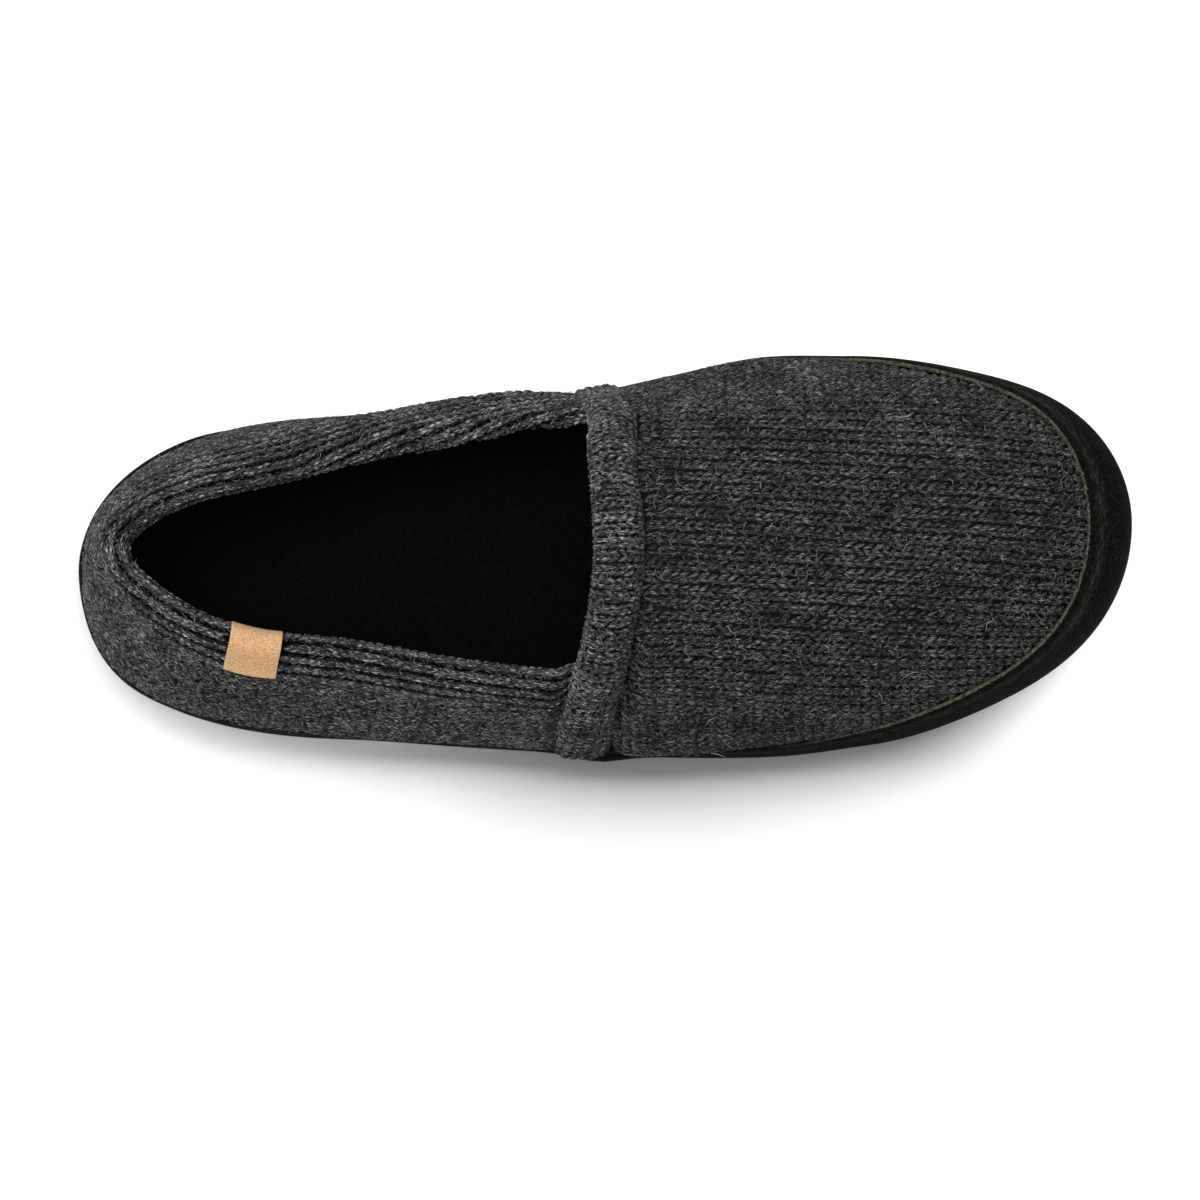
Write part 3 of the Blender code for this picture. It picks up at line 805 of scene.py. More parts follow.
    def roll_depth(self, turn: Array) -> Array:
        """Thickness of the rolled collar, which thins out at the medial throat."""
        thin = self.is_medial(turn) * ease(self.station_of(turn), *self.throat_taper)
        return self.collar_wall + (self.taper_wall - self.collar_wall) * thin

    def wall_depth(self, share: Array, turn: Array) -> Array:
        """Thickness of the quarter's wall by the share of the way to the collar."""
        return self.wall + (self.roll_depth(turn) - self.wall) * ease(share, *self.roll_run)

    def rear_turns(self, count: int) -> Array:
        """Turns from the medial throat round the heel to the lateral throat.

        Args:
            count: steps on each side.

        Returns:
            Turns, negative on the medial side.
        """
        lateral = np.linspace(0, self.turn_of(self.throats[0]), count + 1)
        medial = np.linspace(0, self.turn_of(self.throats[1]), count + 1)
        return np.concatenate([-medial[::-1], lateral[1:]])

    def turn_at_ridge(self, ridge: Array, side: Side) -> Array:
        """Turn on one side whose section climbs to a station of the ridge."""
        x = np.linspace(0, self.toe_fan_start, 2000)
        return self.turn_of(np.interp(ridge, self.ridge_station(self.turn_of(x, side)), x), side)

    def front_turns(self, vamp: int, toe: int, side: Side) -> Array:
        """Turns on one side from the throat to the toe.

        Args:
            vamp: steps over the vamp.
            toe: steps round the toe.
            side: side of the shoe.

        Returns:
            Turns.
        """
        turns = self.turn_at_ridge(np.linspace(self.throat, self.toe_centre, vamp + 1), side)
        turns[0] = self.turn_of(self.throats[side.value], side)
        fan = np.linspace(self.turn_of(self.toe_fan_start), 1, toe + 1)[1:]
        return np.concatenate([turns, 2 - fan if side is Side.MEDIAL else fan])

    def place(self, points: Array) -> Array:
        """Moves points from the shoe's frame in millimetres to the row's frame in metres.

        Args:
            points: points in millimetres.

        Returns:
            Points in metres.
        """
        around = self.sole_edge(np.linspace(0, 2, 2000))
        middle = (around.min(axis=0) + around.max(axis=0)) / 2
        return (points - np.array([*middle, 0.0])) * MM


def rolled_rim(outer: Array, inner: Array, away: Array, steps: int) -> Array:
    """Half-round edge from an outer skin to an inner one, bulging away from the wall.

    Args:
        outer: points of the outer edge.
        inner: points of the inner edge.
        away: directions in which the roll bulges.
        steps: facets round the roll.

    Returns:
        Points by place along the edge and step round it.
    """
    centre = (outer + inner) / 2
    across = (outer - inner) / 2
    radius = np.linalg.norm(across, axis=-1, keepdims=True)
    unit = across / radius
    away = away - (away * unit).sum(-1, keepdims=True) * unit
    away = away * radius / np.linalg.norm(away, axis=-1, keepdims=True)
    angle = np.linspace(0, np.pi, steps + 1)[:, None, None]
    return (centre + np.cos(angle) * across + np.sin(angle) * away).swapaxes(0, 1)


def run_along(points: Array) -> Array:
    """Length from the first point of a row to each of its points."""
    return summed(length_of(np.diff(points, axis=0)))


def resampled(row: Array, length: Array, want: Array) -> Array:
    """Points of a row at other lengths along it."""
    return np.stack([np.interp(want, length, row[:, axis]) for axis in range(3)], axis=-1)


def evened(points: Array, spacing: float, reach: float) -> Array:
    """Resamples each row of a grid at even lengths from its first point.

    Args:
        points: rows of points.
        spacing: length between the new points.
        reach: length of the new rows; a shorter row repeats its end.

    Returns:
        The new rows.
    """
    want = np.arange(0, reach + spacing / 2, spacing)
    return np.stack([resampled(row, run_along(row), want) for row in points])


class Surface:
    """A grid of points on the slipper, read between its points."""

    def __init__(self, points: Array, outward: float = 1.0) -> None:
        """Works out the sizes and normals of the grid.

        Args:
            points: grid of points in millimetres.
            outward: 1 or -1, whichever makes the normals point out of the shoe.
        """
        down, across = np.gradient(points, axis=0), np.gradient(points, axis=1)
        self.points = points
        self.row_size = np.maximum(length_of(down), 1e-3)
        self.column_size = np.maximum(length_of(across), 1e-3)
        normal = outward * np.cross(down, across)
        self.normals = unit(normal)

    def read(self, grid: Array, row: Array, column: Array) -> Array:
        """Values of a grid between its points.

        Args:
            grid: values by row and column.
            row: rows to read at.
            column: columns to read at.

        Returns:
            Values there.
        """
        row = np.clip(row, 0, grid.shape[0] - 1.001)
        column = np.clip(column, 0, grid.shape[1] - 1.001)
        i, j = row.astype(int), column.astype(int)
        a, b = row - i, column - j
        if grid.ndim == 3:
            a, b = a[..., None], b[..., None]
        return ((grid[i, j] * (1 - b) + grid[i, j + 1] * b) * (1 - a)
                + (grid[i + 1, j] * (1 - b) + grid[i + 1, j + 1] * b) * a)

    def at(self, row: Array, column: Array, lift: Array) -> Array:
        """Points at a height over the surface."""
        normal = unit(self.read(self.normals, row, column))
        return self.read(self.points, row, column) + lift[..., None] * normal

    def beside(self, row: Array, column: Array, along: Array, across: Array, lift: Array) -> Array:
        """Points some millimetres along, across and over the surface from a place on its grid.

        Args:
            row: row of the place.
            column: column of the place.
            along: distance down the rows.
            across: distance over the columns.
            lift: height over the surface.

        Returns:
            Points in millimetres.
        """
        tall = self.read(self.row_size, row, column)
        wide = self.read(self.column_size, row, column)
        return self.at(row + along / tall, column + across / wide, lift)


def deselect() -> None:
    """Leaves edit mode and deselects everything."""
    if bpy.context.mode != "OBJECT":
        bpy.ops.object.mode_set(mode="OBJECT")
    bpy.ops.object.select_all(action="DESELECT")


def shaped_grid(name: str, points: Array, finish: Any) -> Any:
    """Adds a grid primitive and moves its corners to their places on the slipper.

    Args:
        name: name of the object.
        points: grid of points in metres.
        finish: material of its faces.

    Returns:
        The object.
    """
    rows, columns = points.shape[:2]
    deselect()
    bpy.ops.mesh.primitive_grid_add(x_subdivisions=columns - 1, y_subdivisions=rows - 1, size=2.0)
    made = bpy.context.active_object
    made.name = name
    made.data.name = name
    plan = np.empty(len(made.data.vertices) * 3, np.float32)
    made.data.vertices.foreach_get("co", plan)
    plan = plan.reshape(-1, 3)
    column = np.rint((plan[:, 0] + 1) / 2 * (columns - 1)).astype(int)
    row = np.rint((plan[:, 1] + 1) / 2 * (rows - 1)).astype(int)
    made.data.vertices.foreach_set("co", points[row, column].astype(np.float32).ravel())
    made.data.materials.append(finish)
    return made


def joined(name: str, objects: list[Any], merge: float = 1e-5) -> Any:
    """Joins objects, merges their shared corners and turns their faces outward.

    Args:
        name: name of the joined object.
        objects: objects to join; the first one stays.
        merge: distance in metres under which corners become one.

    Returns:
        The joined object.
    """
    deselect()
    for item in objects:
        item.select_set(True)
    bpy.context.view_layer.objects.active = objects[0]
    if len(objects) > 1:
        bpy.ops.object.join()
    made = bpy.context.active_object
    bpy.ops.object.mode_set(mode="EDIT")
    bpy.ops.mesh.select_all(action="SELECT")
    bpy.ops.mesh.remove_doubles(threshold=merge)
    bpy.ops.mesh.dissolve_degenerate(threshold=1e-6)
    bpy.ops.mesh.select_all(action="SELECT")
    bpy.ops.mesh.normals_make_consistent(inside=False)
    bpy.ops.object.mode_set(mode="OBJECT")
    made.name = name
    made.data.name = name
    return made


def smooth_shaded(made: Any, degrees: float = 50.0) -> Any:
    """Shades an object smooth, apart from its sharp edges.

    Args:
        made: object to shade.
        degrees: angle above which an edge is sharp.

    Returns:
        The object.
    """
    deselect()
    made.select_set(True)
    bpy.context.view_layer.objects.active = made
    bpy.ops.object.shade_smooth_by_angle(angle=math.radians(degrees))
    return made


def map_from_corners(made: Any, name: str, corners: Array) -> None:
    """Writes a map from one pair of numbers for each vertex.

    Args:
        made: object whose mesh gets the map.
        name: name of the map.
        corners: pairs by vertex.
    """
    data = made.data
    loops = np.empty(len(data.loops), np.int32)
    data.loops.foreach_get("vertex_index", loops)
    layer = data.uv_layers.get(name) or data.uv_layers.new(name=name)
    layer.data.foreach_set("uv", corners[loops].astype(np.float32).ravel())


def hand_in(piece: Any, slot: Slot, *nodes: str) -> Any:
    """Rides a piece on the body, hides the solids that it stands for, and logs it.

    Args:
        piece: finished object.
        slot: material slot of the record; not used.
        nodes: names of the solids that it replaces.

    Returns:
        The piece.
    """
    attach(piece, BODY)
    if nodes:
        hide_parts(*nodes)
    faces = sum(len(face.vertices) - 2 for face in piece.data.polygons)
    LOG.info("%s: %d triangles", piece.name, faces)
    return piece


@dataclass(frozen=True)
class Template:
    """A small shape that is copied many times: its corners, faces and map."""

    corners: Array
    faces: tuple[tuple[int, ...], ...]
    chart: Array


@dataclass(frozen=True)
class YarnLeg:
    """One leg of a knit stitch: a bent, tapered length of yarn that leans out from the middle of its wale."""

    course: float = 2.75
    wale: float = 3.55
    sides: int = 5
    # Unevenness of the stitches
    loose: float = 1.0
    # Painted shade: how much darker the sides of a wale are painted than its middle
    rounded: float = 0.0
    # Each ring: share of a course along the wale, share of a wale across it, height and radius
    rings: Rows = (
        (-0.50, 0.08, -1.05, 0.30), (-0.24, 0.13, -0.50, 0.54), (0.10, 0.21, -0.26, 0.66),
        (0.42, 0.29, -0.28, 0.66), (0.70, 0.345, -0.54, 0.54), (0.90, 0.375, -1.08, 0.30))

    def model(self) -> Template:
        """Extrudes the leg from a small disc and reads it back.

        Returns:
            The leg, in millimetres along, across and over the knit, with its map along and round the yarn.
        """
        deselect()
        path = [Vector((u * self.course, v * self.wale, w)) for u, v, w, _ in self.rings]
        radii = [ring[3] for ring in self.rings]
        bpy.ops.mesh.primitive_circle_add(vertices=self.sides, radius=radii[0], fill_type="NGON",
                                          location=path[0], rotation=(0, QUARTER_TURN, 0))
        made = bpy.context.active_object
        bpy.ops.object.transform_apply(location=True, rotation=True, scale=True)
        bpy.ops.object.mode_set(mode="EDIT")
        bpy.ops.mesh.select_all(action="SELECT")
        for before, after, thin, thick in zip(path, path[1:], radii, radii[1:]):
            bpy.ops.mesh.extrude_region_move(TRANSFORM_OT_translate={"value": after - before})
            bpy.ops.transform.resize(value=(1.0, thick / thin, thick / thin), center_override=after)
        bpy.ops.mesh.select_all(action="SELECT")
        bpy.ops.mesh.normals_make_consistent(inside=False)
        bpy.ops.object.mode_set(mode="OBJECT")
        corners = np.array([vertex.co[:] for vertex in made.data.vertices])
        faces = tuple(tuple(face.vertices) for face in made.data.polygons)
        line = np.array(path)
        off = corners - line[np.argmin(np.abs(line[:, 0] - corners[:, :1]), axis=1)]
        angle = np.mod(np.arctan2(off[:, 1], off[:, 2]) + np.pi, 2 * np.pi)
        chart = np.stack([corners[:, 0], angle * max(radii) + 0.5 * corners[:, 0]], axis=-1)
        bpy.data.objects.remove(made)
        return Template(corners, faces, chart)


# Slim leg of the collar's rope-like wales, which lies partly under the next one
ROPE_LEG = YarnLeg(course=2.5, wale=3.45, loose=0.5, rounded=0.75, rings=(
    (-0.85, 0.00, -1.10, 0.28), (-0.48, 0.055, -0.30, 0.47), (-0.05, 0.13, 0.08, 0.58),
    (0.40, 0.205, 0.10, 0.57), (0.76, 0.27, -0.28, 0.46), (1.02, 0.32, -1.10, 0.28)))
# Leg of the vamp's even wales, with a groove between them
VAMP_LEG = YarnLeg(loose=0.75, rings=(
    (-0.50, 0.07, -1.05, 0.28), (-0.24, 0.12, -0.42, 0.52), (0.10, 0.20, -0.18, 0.63),
    (0.42, 0.27, -0.24, 0.61), (0.70, 0.325, -0.62, 0.48), (0.90, 0.355, -1.15, 0.26)))
# Flat leg of the quarter's matted wall
WALL_LEG = YarnLeg(course=2.75, wale=3.3, loose=1.1)


def mesh_of_copies(name: str, points: Array, template: Template, chart: Array, layer: str,
                   finish: Any) -> Any:
    """Makes one mesh of many copies of a template.

    Args:
        name: name of the piece.
        points: corners of each copy in metres.
        template: the shape, for its faces.
        chart: map of each copy's corners.
        layer: name of the map.
        finish: material.

    Returns:
        The object.
    """
    copies, corners = points.shape[:2]
    starts = range(0, copies * corners, corners)
    faces = [tuple(start + corner for corner in face) for start in starts for face in template.faces]
    data = bpy.data.meshes.new(name)
    data.from_pydata(points.reshape(-1, 3).tolist(), [], faces)
    data.materials.append(finish)
    data.shade_smooth()
    made = bpy.data.objects.new(name, data)
    bpy.context.scene.collection.objects.link(made)
    map_from_corners(made, layer, chart.reshape(-1, 2))
    return made


@dataclass
class Knit:
    """Stitches and loose hairs over one panel of the upper.

    The hairs are drawn coarser than real wool so that they show.
    """

    last: Last
    yarn: Any
    hair: Any
    seed: int
    leg: YarnLeg = field(default_factory=YarnLeg)
    # Unevenness of a loose stitch: its size, corners, angle, and place along, across and over the knit
    sizes: Pair = (0.88, 1.12)
    lumps: float = 0.07
    turned: float = 0.14
    moved: Triple = (0.14, 0.09, 0.11)
    fuzz_length: Pair = (1.2, 3.6)
    fuzz_radius: float = 0.05
    stray_share: float = 0.012
    stray_length: Pair = (3.5, 8.0)
    stray_radius: float = 0.06
    brown_share: float = 0.012
    # How a hair wanders: spread of its heading, its curl and its bend
    wander: Triple = (1.0, 2.2, 1.2)
    # Height at a hair's root, height of its arch, and how far a lying hair stands off against a stray one
    root: float = -0.25
    arch: float = 0.45
    lying: float = 0.35
    # Shape and scale of the spread of heights, points along a hair and corners round it
    stands: Pair = (1.4, 0.6)
    hair_knots: int = 4
    hair_sides: int = 3
    # Shades of stray hairs, the two powers of the fuzz's shades, and the palest shade that isn't brown
    stray_shades: Pair = (0.45, 0.95)
    fuzz_shades: Pair = (1.5, 1.9)
    palest: float = 0.93
    # How far from its stitch a hair may start, in rows and columns of the surface
    scatter: Pair = (1.0, 1.5)

    def stitch_piece(self, name: str, surface: Surface, row: Array, column: Array, lift: Array,
                     leg: YarnLeg | None = None, slant: Any = 0.0) -> Any:
        """Copies the two legs of a stitch to each place on a surface.

        Args:
            name: name of the piece.
            surface: surface under the stitches.
            row: rows of the stitches.
            column: columns of the stitches.
            lift: extra height of each stitch.
            leg: leg to copy, if it isn't the panel's own.
            slant: angle of each stitch to the rows.

        Returns:
            The piece.
        """
        draw = np.random.default_rng(self.seed)
        leg = leg or self.leg
        template = leg.model()
        mirrored = Template(template.corners * (1, -1, 1), tuple(face[::-1] for face in template.faces),
                            template.chart)
        both, charts = [], []
        count = len(row)

        def uneven(spread: float, width: int = 1) -> Array:
            """Draws the unevenness of each stitch."""
            return draw.normal(0, spread * leg.loose, (count, width))

        for shape in (template, mirrored):
            size = draw.uniform(*self.sizes, (count, 1))
            angle = np.reshape(slant, (-1, 1)) + uneven(self.turned)
            along, across, over = (size * shape.corners[:, k] + uneven(self.lumps, len(shape.corners))
                                   for k in range(3))
            turned_along = along * np.cos(angle) - across * np.sin(angle) + uneven(self.moved[0])
            turned_across = along * np.sin(angle) + across * np.cos(angle) + uneven(self.moved[1])
            over = over + lift[:, None] + uneven(self.moved[2])
            both.append(surface.beside(row[:, None], column[:, None], turned_along, turned_across, over))
            charts.append(shape.chart[None] + draw.uniform(0, 400, (count, 1, 2)))
        faces = tuple(template.faces) + tuple(
            tuple(corner + len(template.corners) for corner in face) for face in mirrored.faces)
        pair = Template(template.corners, faces, template.chart)
        points = self.last.place(np.concatenate(both, axis=1))
        made = mesh_of_copies(name, points, pair, np.concatenate(charts, axis=1), "yarn", self.yarn)
        # Painted shade: "depth" holds each corner's height, cut towards a wale's sides, and the yarn darkens
        # where it is low
        height = template.corners[:, 2] - template.corners[:, 2].min()
        depth = made.data.attributes.new("depth", "FLOAT", "POINT")
        side = np.abs(template.corners[:, 1]) / np.abs(template.corners[:, 1]).max()
        shown = height / height.max() * (1 - leg.rounded * side**2)
        depth.data.foreach_set("value", np.tile(shown, 2 * count).astype(np.float32))
        return made

    def hair_piece(self, name: str, surface: Surface, row: Array, column: Array, draw: Any) -> Any:
        """Lays curled hairs on a surface.

        Args:
            name: name of the piece.
            surface: surface under the hairs.
            row: rows of the stitches that the hairs grow from.
            column: columns of those stitches.
            draw: the panel's own random numbers, for the places where the hairs start.

        Returns:
            The piece.
        """
        count, knots, sides = len(row), self.hair_knots, self.hair_sides
        row, column = (at + draw.uniform(-far, far, count) for at, far in zip((row, column), self.scatter))
        draw = np.random.default_rng(self.seed + 1)
        share = np.linspace(0, 1, knots)
        stray = draw.random((count, 1)) < self.stray_share
        reach = np.where(stray, draw.uniform(*self.stray_length, (count, 1)),
                         draw.uniform(*self.fuzz_length, (count, 1)))
        heading = draw.normal(0, self.wander[0], (count, 1)) + draw.choice([0.0, np.pi], (count, 1))
        curl = draw.normal(0, self.wander[1], (count, 1))
        bend = draw.normal(0, self.wander[2], (count, 1))
        angle = heading + curl * share + bend * np.sin(2 * np.pi * share)
        step = reach / (knots - 1)
        along, across = (
            np.concatenate([np.zeros((count, 1)), np.cumsum(way(angle[:, 1:]) * step, axis=1)], axis=1)
            for way in (np.cos, np.sin))
        stand = np.where(stray, 1.0, self.lying) * draw.gamma(*self.stands, (count, 1))
        over = self.root + self.arch * np.sin(np.pi * np.clip(share * 1.2, 0, 1)) + stand * share**1.3
        path = surface.beside(row[:, None], column[:, None], along, across, over)
        ahead = unit(np.gradient(path, axis=1))
        out = surface.read(surface.normals, row, column)[:, None]
        beside = unit(np.cross(ahead, out))
        above = np.cross(beside, ahead)
        thick = np.where(stray, self.stray_radius, self.fuzz_radius)
        taper = (thick * (0.35 + 0.65 * np.sin(np.pi * (0.15 + 0.7 * share))))[:, :, None, None]
        spin = 2 * np.pi * np.arange(sides) / sides
        ring = np.cos(spin)[:, None] * beside[:, :, None] + np.sin(spin)[:, None] * above[:, :, None]
        points = (path[:, :, None] + taper * ring).reshape(count, knots * sides, 3)
        faces = [tuple(range(sides))[::-1], tuple(range((knots - 1) * sides, knots * sides))]
        for k in range(knots - 1):
            for s in range(sides):
                a, b = k * sides + s, k * sides + (s + 1) % sides
                faces.append((a, b, b + sides, a + sides))
        shade = np.where(stray, draw.uniform(*self.stray_shades, (count, 1)),
                         draw.beta(*self.fuzz_shades, (count, 1)))
        shade = np.where(draw.random((count, 1)) < self.brown_share, 1.0, self.palest * shade)
        shade = np.repeat(shade[:, :, None], knots * sides, axis=1)
        chart = np.concatenate([shade, shade], axis=-1)
        template = Template(points[0], tuple(faces), chart[0])
        return mesh_of_copies(name, self.last.place(points), template, chart, "hair", self.hair)


@dataclass
class Vamp(Knit):
    """Front panel: wales run along the foot from the cuff to the rand, leaning to the lateral side."""

    first: float = 136.0
    final: float = 284.0
    cuff_front: float = 156.2
    axis_height: float = 5.0
    section: float = 1.2
    girth: float = 108.0
    overhang: float = 1.4
    # Lean of the wales, and the run from the first row at which they pass through their own columns
    lean: float = -0.085
    lean_start: float = 40.0
    # How far the knit goes on under the rand's edge
    under: float = 0.8
    # Steps over the vamp and round the toe, stations behind the throat, and steps up a section
    fan: tuple[int, int] = (90, 70)
    behind: tuple[float, float, int] = (126.0, 142.9, 12)
    climbs: int = 140
    hairs: int = 7500
    tuft_strays: float = 0.4
    # Small tufts: plan place, number of hairs and share of brown ones
    tufts: Rows = (
        (270.0, 24.0, 60, 0.8), (278.0, 6.0, 16, 0.0), (276.5, -12.0, 8, 0.0), (148.5, -55.0, 22, 0.3))

    def surface(self) -> Surface:
        """Outer skin on even cross sections.

        Returns:
            Rows along the foot and columns round it, a millimetre apart from the lateral side over the top.
        """
        stations = np.arange(self.first, self.final, self.section)
        climb = np.linspace(0, QUARTER_TURN, self.climbs)
        halves = []
        for side in Side:
            turn = self.last.front_turns(*self.fan, side)
            turn = np.concatenate([self.last.turn_at_ridge(np.linspace(*self.behind), side), turn])
            points = self.last.skin(turn[:, None], climb)
            half = np.full((len(stations), len(climb), 3), np.nan)
            for j in range(len(climb)):
                column = points[:, j]
                inside = stations <= column[:, 0].max()
                half[inside, j, 0] = stations[inside]
                for axis in (1, 2):
                    half[inside, j, axis] = np.interp(stations[inside], column[:, 0], column[:, axis])
            halves.append(half)
        whole = np.concatenate([halves[0], halves[1][:, -2::-1]], axis=1)
        want = np.arange(-self.girth, self.girth + 0.5, 1.0)
        made = []
        for row in whole:
            row = row[~np.isnan(row[:, 0])]
            length = run_along(row)
            length -= np.interp(0.0, row[:, 1], length)
            made.append(resampled(row, length, want))
        return Surface(np.stack(made))

    def seam(self, points: Array) -> Array:
        """Station of the cuff's front edge at the same angle round the foot.

        Args:
            points: places on the vamp.

        Returns:
            Stations in millimetres.
        """
        climb = np.linspace(0, QUARTER_TURN, 60)
        front = np.full(len(climb), self.cuff_front)
        lateral, medial = (self.last.skin(self.last.turn_at_ridge(front, side), climb) for side in Side)
        edge = np.concatenate([lateral, medial[-2::-1]])
        angle = np.arctan2(edge[:, 1], edge[:, 2] - self.axis_height)
        return np.interp(np.arctan2(points[..., 1], points[..., 2] - self.axis_height), angle, edge[:, 0])

    def shows(self, points: Array) -> Array:
        """True where a point lies between the cuff and the rand.

        Args:
            points: places on the last in millimetres.

        Returns:
            A truth value for each point.
        """
        x = points[..., 0]
        hang = self.overhang * (1 - ease(x, *self.last.swell_end))
        return (points[..., 2] > self.last.rand_height(x) - hang - self.under) & (x > self.seam(points))

    def build(self) -> list[Any]:
        """Knits the panel.

        Returns:
            The stitches of both halves and the hairs.
        """
        surface = self.surface()
        middle = int(self.girth)
        length = summed(surface.row_size[1:, middle])
        courses = np.arange(0, length[-1], self.leg.course)
        wales = np.arange(-30, 31) * self.leg.wale
        run, wale = (grid.ravel() for grid in np.meshgrid(courses, wales))
        row = np.interp(run, length, np.arange(len(length)))
        column = middle + wale + self.lean * (run - self.lean_start)
        points = surface.at(row, column, np.zeros_like(row))
        keep = self.shows(points) & (column > 1) & (column < 2 * middle - 1)
        row, column, points = row[keep], column[keep], points[keep]
        pieces = []
        for side in Side:
            mine = (points[:, 1] > 0) == (side is Side.MEDIAL)
            name = f"vamp_knit_{side.name.lower()}"
            pieces.append(self.stitch_piece(name, surface, row[mine], column[mine], np.zeros(mine.sum())))
        draw = np.random.default_rng(self.seed + 7)
        pick = draw.integers(0, len(row), self.hairs)
        pieces.append(self.hair_piece("vamp_hairs", surface, row[pick], column[pick], draw))
        for x, y, count, brown in self.tufts:
            near = np.argsort(length_of(points[:, :2] - (x, y)))[: 2 + count // 5]
            pick = draw.choice(near, count)
            tuft = replace(self, brown_share=brown, stray_share=self.tuft_strays, seed=self.seed + count)
            pieces.append(tuft.hair_piece(f"tuft_{count}", surface, row[pick], column[pick], draw))
        return pieces


@dataclass
class Quarter(Knit):
    """Back panel: rope-like wales lie along the rolled collar, and matted ones follow down the wall."""

    columns: int = 300
    spacing: float = 0.7
    reach: float = 75.0
    rope: YarnLeg = ROPE_LEG
    rope_yarn: Any = None
    # Slant of the medial ropes, and how far behind the throat they begin to lean
    slant: float = 0.2
    slant_run: float = 82.0
    covered: Array | None = None
    # Share of the way round the heel from the medial throat, and width of the rope-like part there
    rope_reach: Rows = (
        (0.0, 25.0), (0.36, 22.0), (0.44, 15.0), (0.5, 10.5), (0.56, 14.0), (0.64, 20.0), (1.0, 18.5))
    # How far the ends of the panel are tucked under the cuff on each side, and over how many rows
    tucks: Pair = (1.2, 2.8)
    tuck_rows: int = 14
    overhang: float = 2.2
    # How far the matted wales reach under the lowest rope and out from the inner edge, and how deep they lie
    lap: float = 1.4
    inner_mat: float = 6.0
    mat_sink: float = 0.5
    # Heights of the ropes and of the matted wales over the last, and the room left round the label
    rope_lift: float = 0.15
    wall_lift: float = -0.2
    label_room: float = 1.1
    # Shares of hair on the ropes and on the wall, how much more the heel has, and its share of the way round
    hair_shares: Pair = (0.3, 1.0)
    heel_hair: Pair = (1.0, 0.6)
    heel_band: float = 0.09
    hairs: int = 9000
    scatter: Pair = (1.0, 2.5)
    # Column along which the slant is measured, place of the first wale, wales laid before it, and bare edge
    edge_column: int = 12
    first_wale: float = 0.9
    wales_before: int = 7
    bare_edge: float = 0.6
    # Share of the rolled rim that is knitted, and steps round it
    roll_share: float = 0.93
    roll_steps: int = 30

    def surface(self) -> Surface:
        """Outer skin from the inner side of the rolled collar down to the sole.

        Returns:
            Rows round the heel from the medial throat, columns down the wall.
        """
        turn = self.last.rear_turns(self.columns // 2)
        place = np.mod(turn, 2)
        top = self.last.collar_climb(place)
        share = np.linspace(1, 0, 60)
        wall = self.last.skin(place[:, None], top[:, None] * share)
        outer = wall[:, 0]
        inner = self.last.skin(place, top, -self.last.roll_depth(place))
        rim = rolled_rim(outer, inner, outer - self.last.skin(place, top - 0.05), self.roll_steps)[:, ::-1]
        start = int(self.roll_steps * (1 - self.roll_share))
        profile = np.concatenate([rim[:, start:-1], wall], axis=1)
        index = np.arange(len(profile))
        lateral, medial = (1 - ease(steps, 0, self.tuck_rows) for steps in (index[::-1], index))
        profile[..., 0] += (self.tucks[0] * lateral + self.tucks[1] * medial)[:, None]
        return Surface(evened(profile, self.spacing, self.reach), -1.0)

    def build(self) -> list[Any]:
        """Knits the panel.

        Returns:
            The stitches and the hairs.
        """
        surface = self.surface()
        draw = np.random.default_rng(self.seed + 7)
        pieces, places = [], []
        for name, leg, lift in (("collar_ropes", self.rope, self.rope_lift),
                                ("quarter_knit", self.leg, self.wall_lift)):
            row, column, slant = self.stitches(surface, leg)
            down = column * self.spacing
            ropes = leg is self.rope
            roped = down < self.rope_width(row, len(surface.points)) - (0.0 if ropes else self.lap)
            matted = down < self.inner_mat
            points = surface.at(row, column, np.zeros_like(row))
            hang = self.overhang * (1 - ease(points[:, 0], *self.last.swell_end))
            shown = roped if ropes else ~roped | matted
            keep = shown & (points[:, 2] > self.last.rand_height(points[:, 0]) - hang)
            keep &= length_of(points[:, None] - self.covered).min(axis=1) > self.label_room
            height = lift - self.mat_sink * (matted & roped & (not ropes))
            row, column, slant, height = row[keep], column[keep], slant[keep], height[keep]
            made = self.stitch_piece(name, surface, row, column, height, leg, slant)
            if ropes:
                made.data.materials[0] = self.rope_yarn
            pieces.append(made)
            heel = np.exp(-(((row / (len(surface.points) - 1) - 0.5) / self.heel_band) ** 2))
            part = 0 if ropes else 1
            places.append((row, column, self.hair_shares[part] + self.heel_hair[part] * heel))
        row, column, weight = (np.concatenate(part) for part in zip(*places))
        pick = draw.choice(len(row), self.hairs, p=weight / weight.sum())
        pieces.append(self.hair_piece("quarter_hairs", surface, row[pick], column[pick], draw))
        return pieces

    def rope_width(self, row: Array, rows: int) -> Array:
        """Width of the rope-like part of the collar at a row."""
        return np.interp(row / (rows - 1), *np.transpose(self.rope_reach))

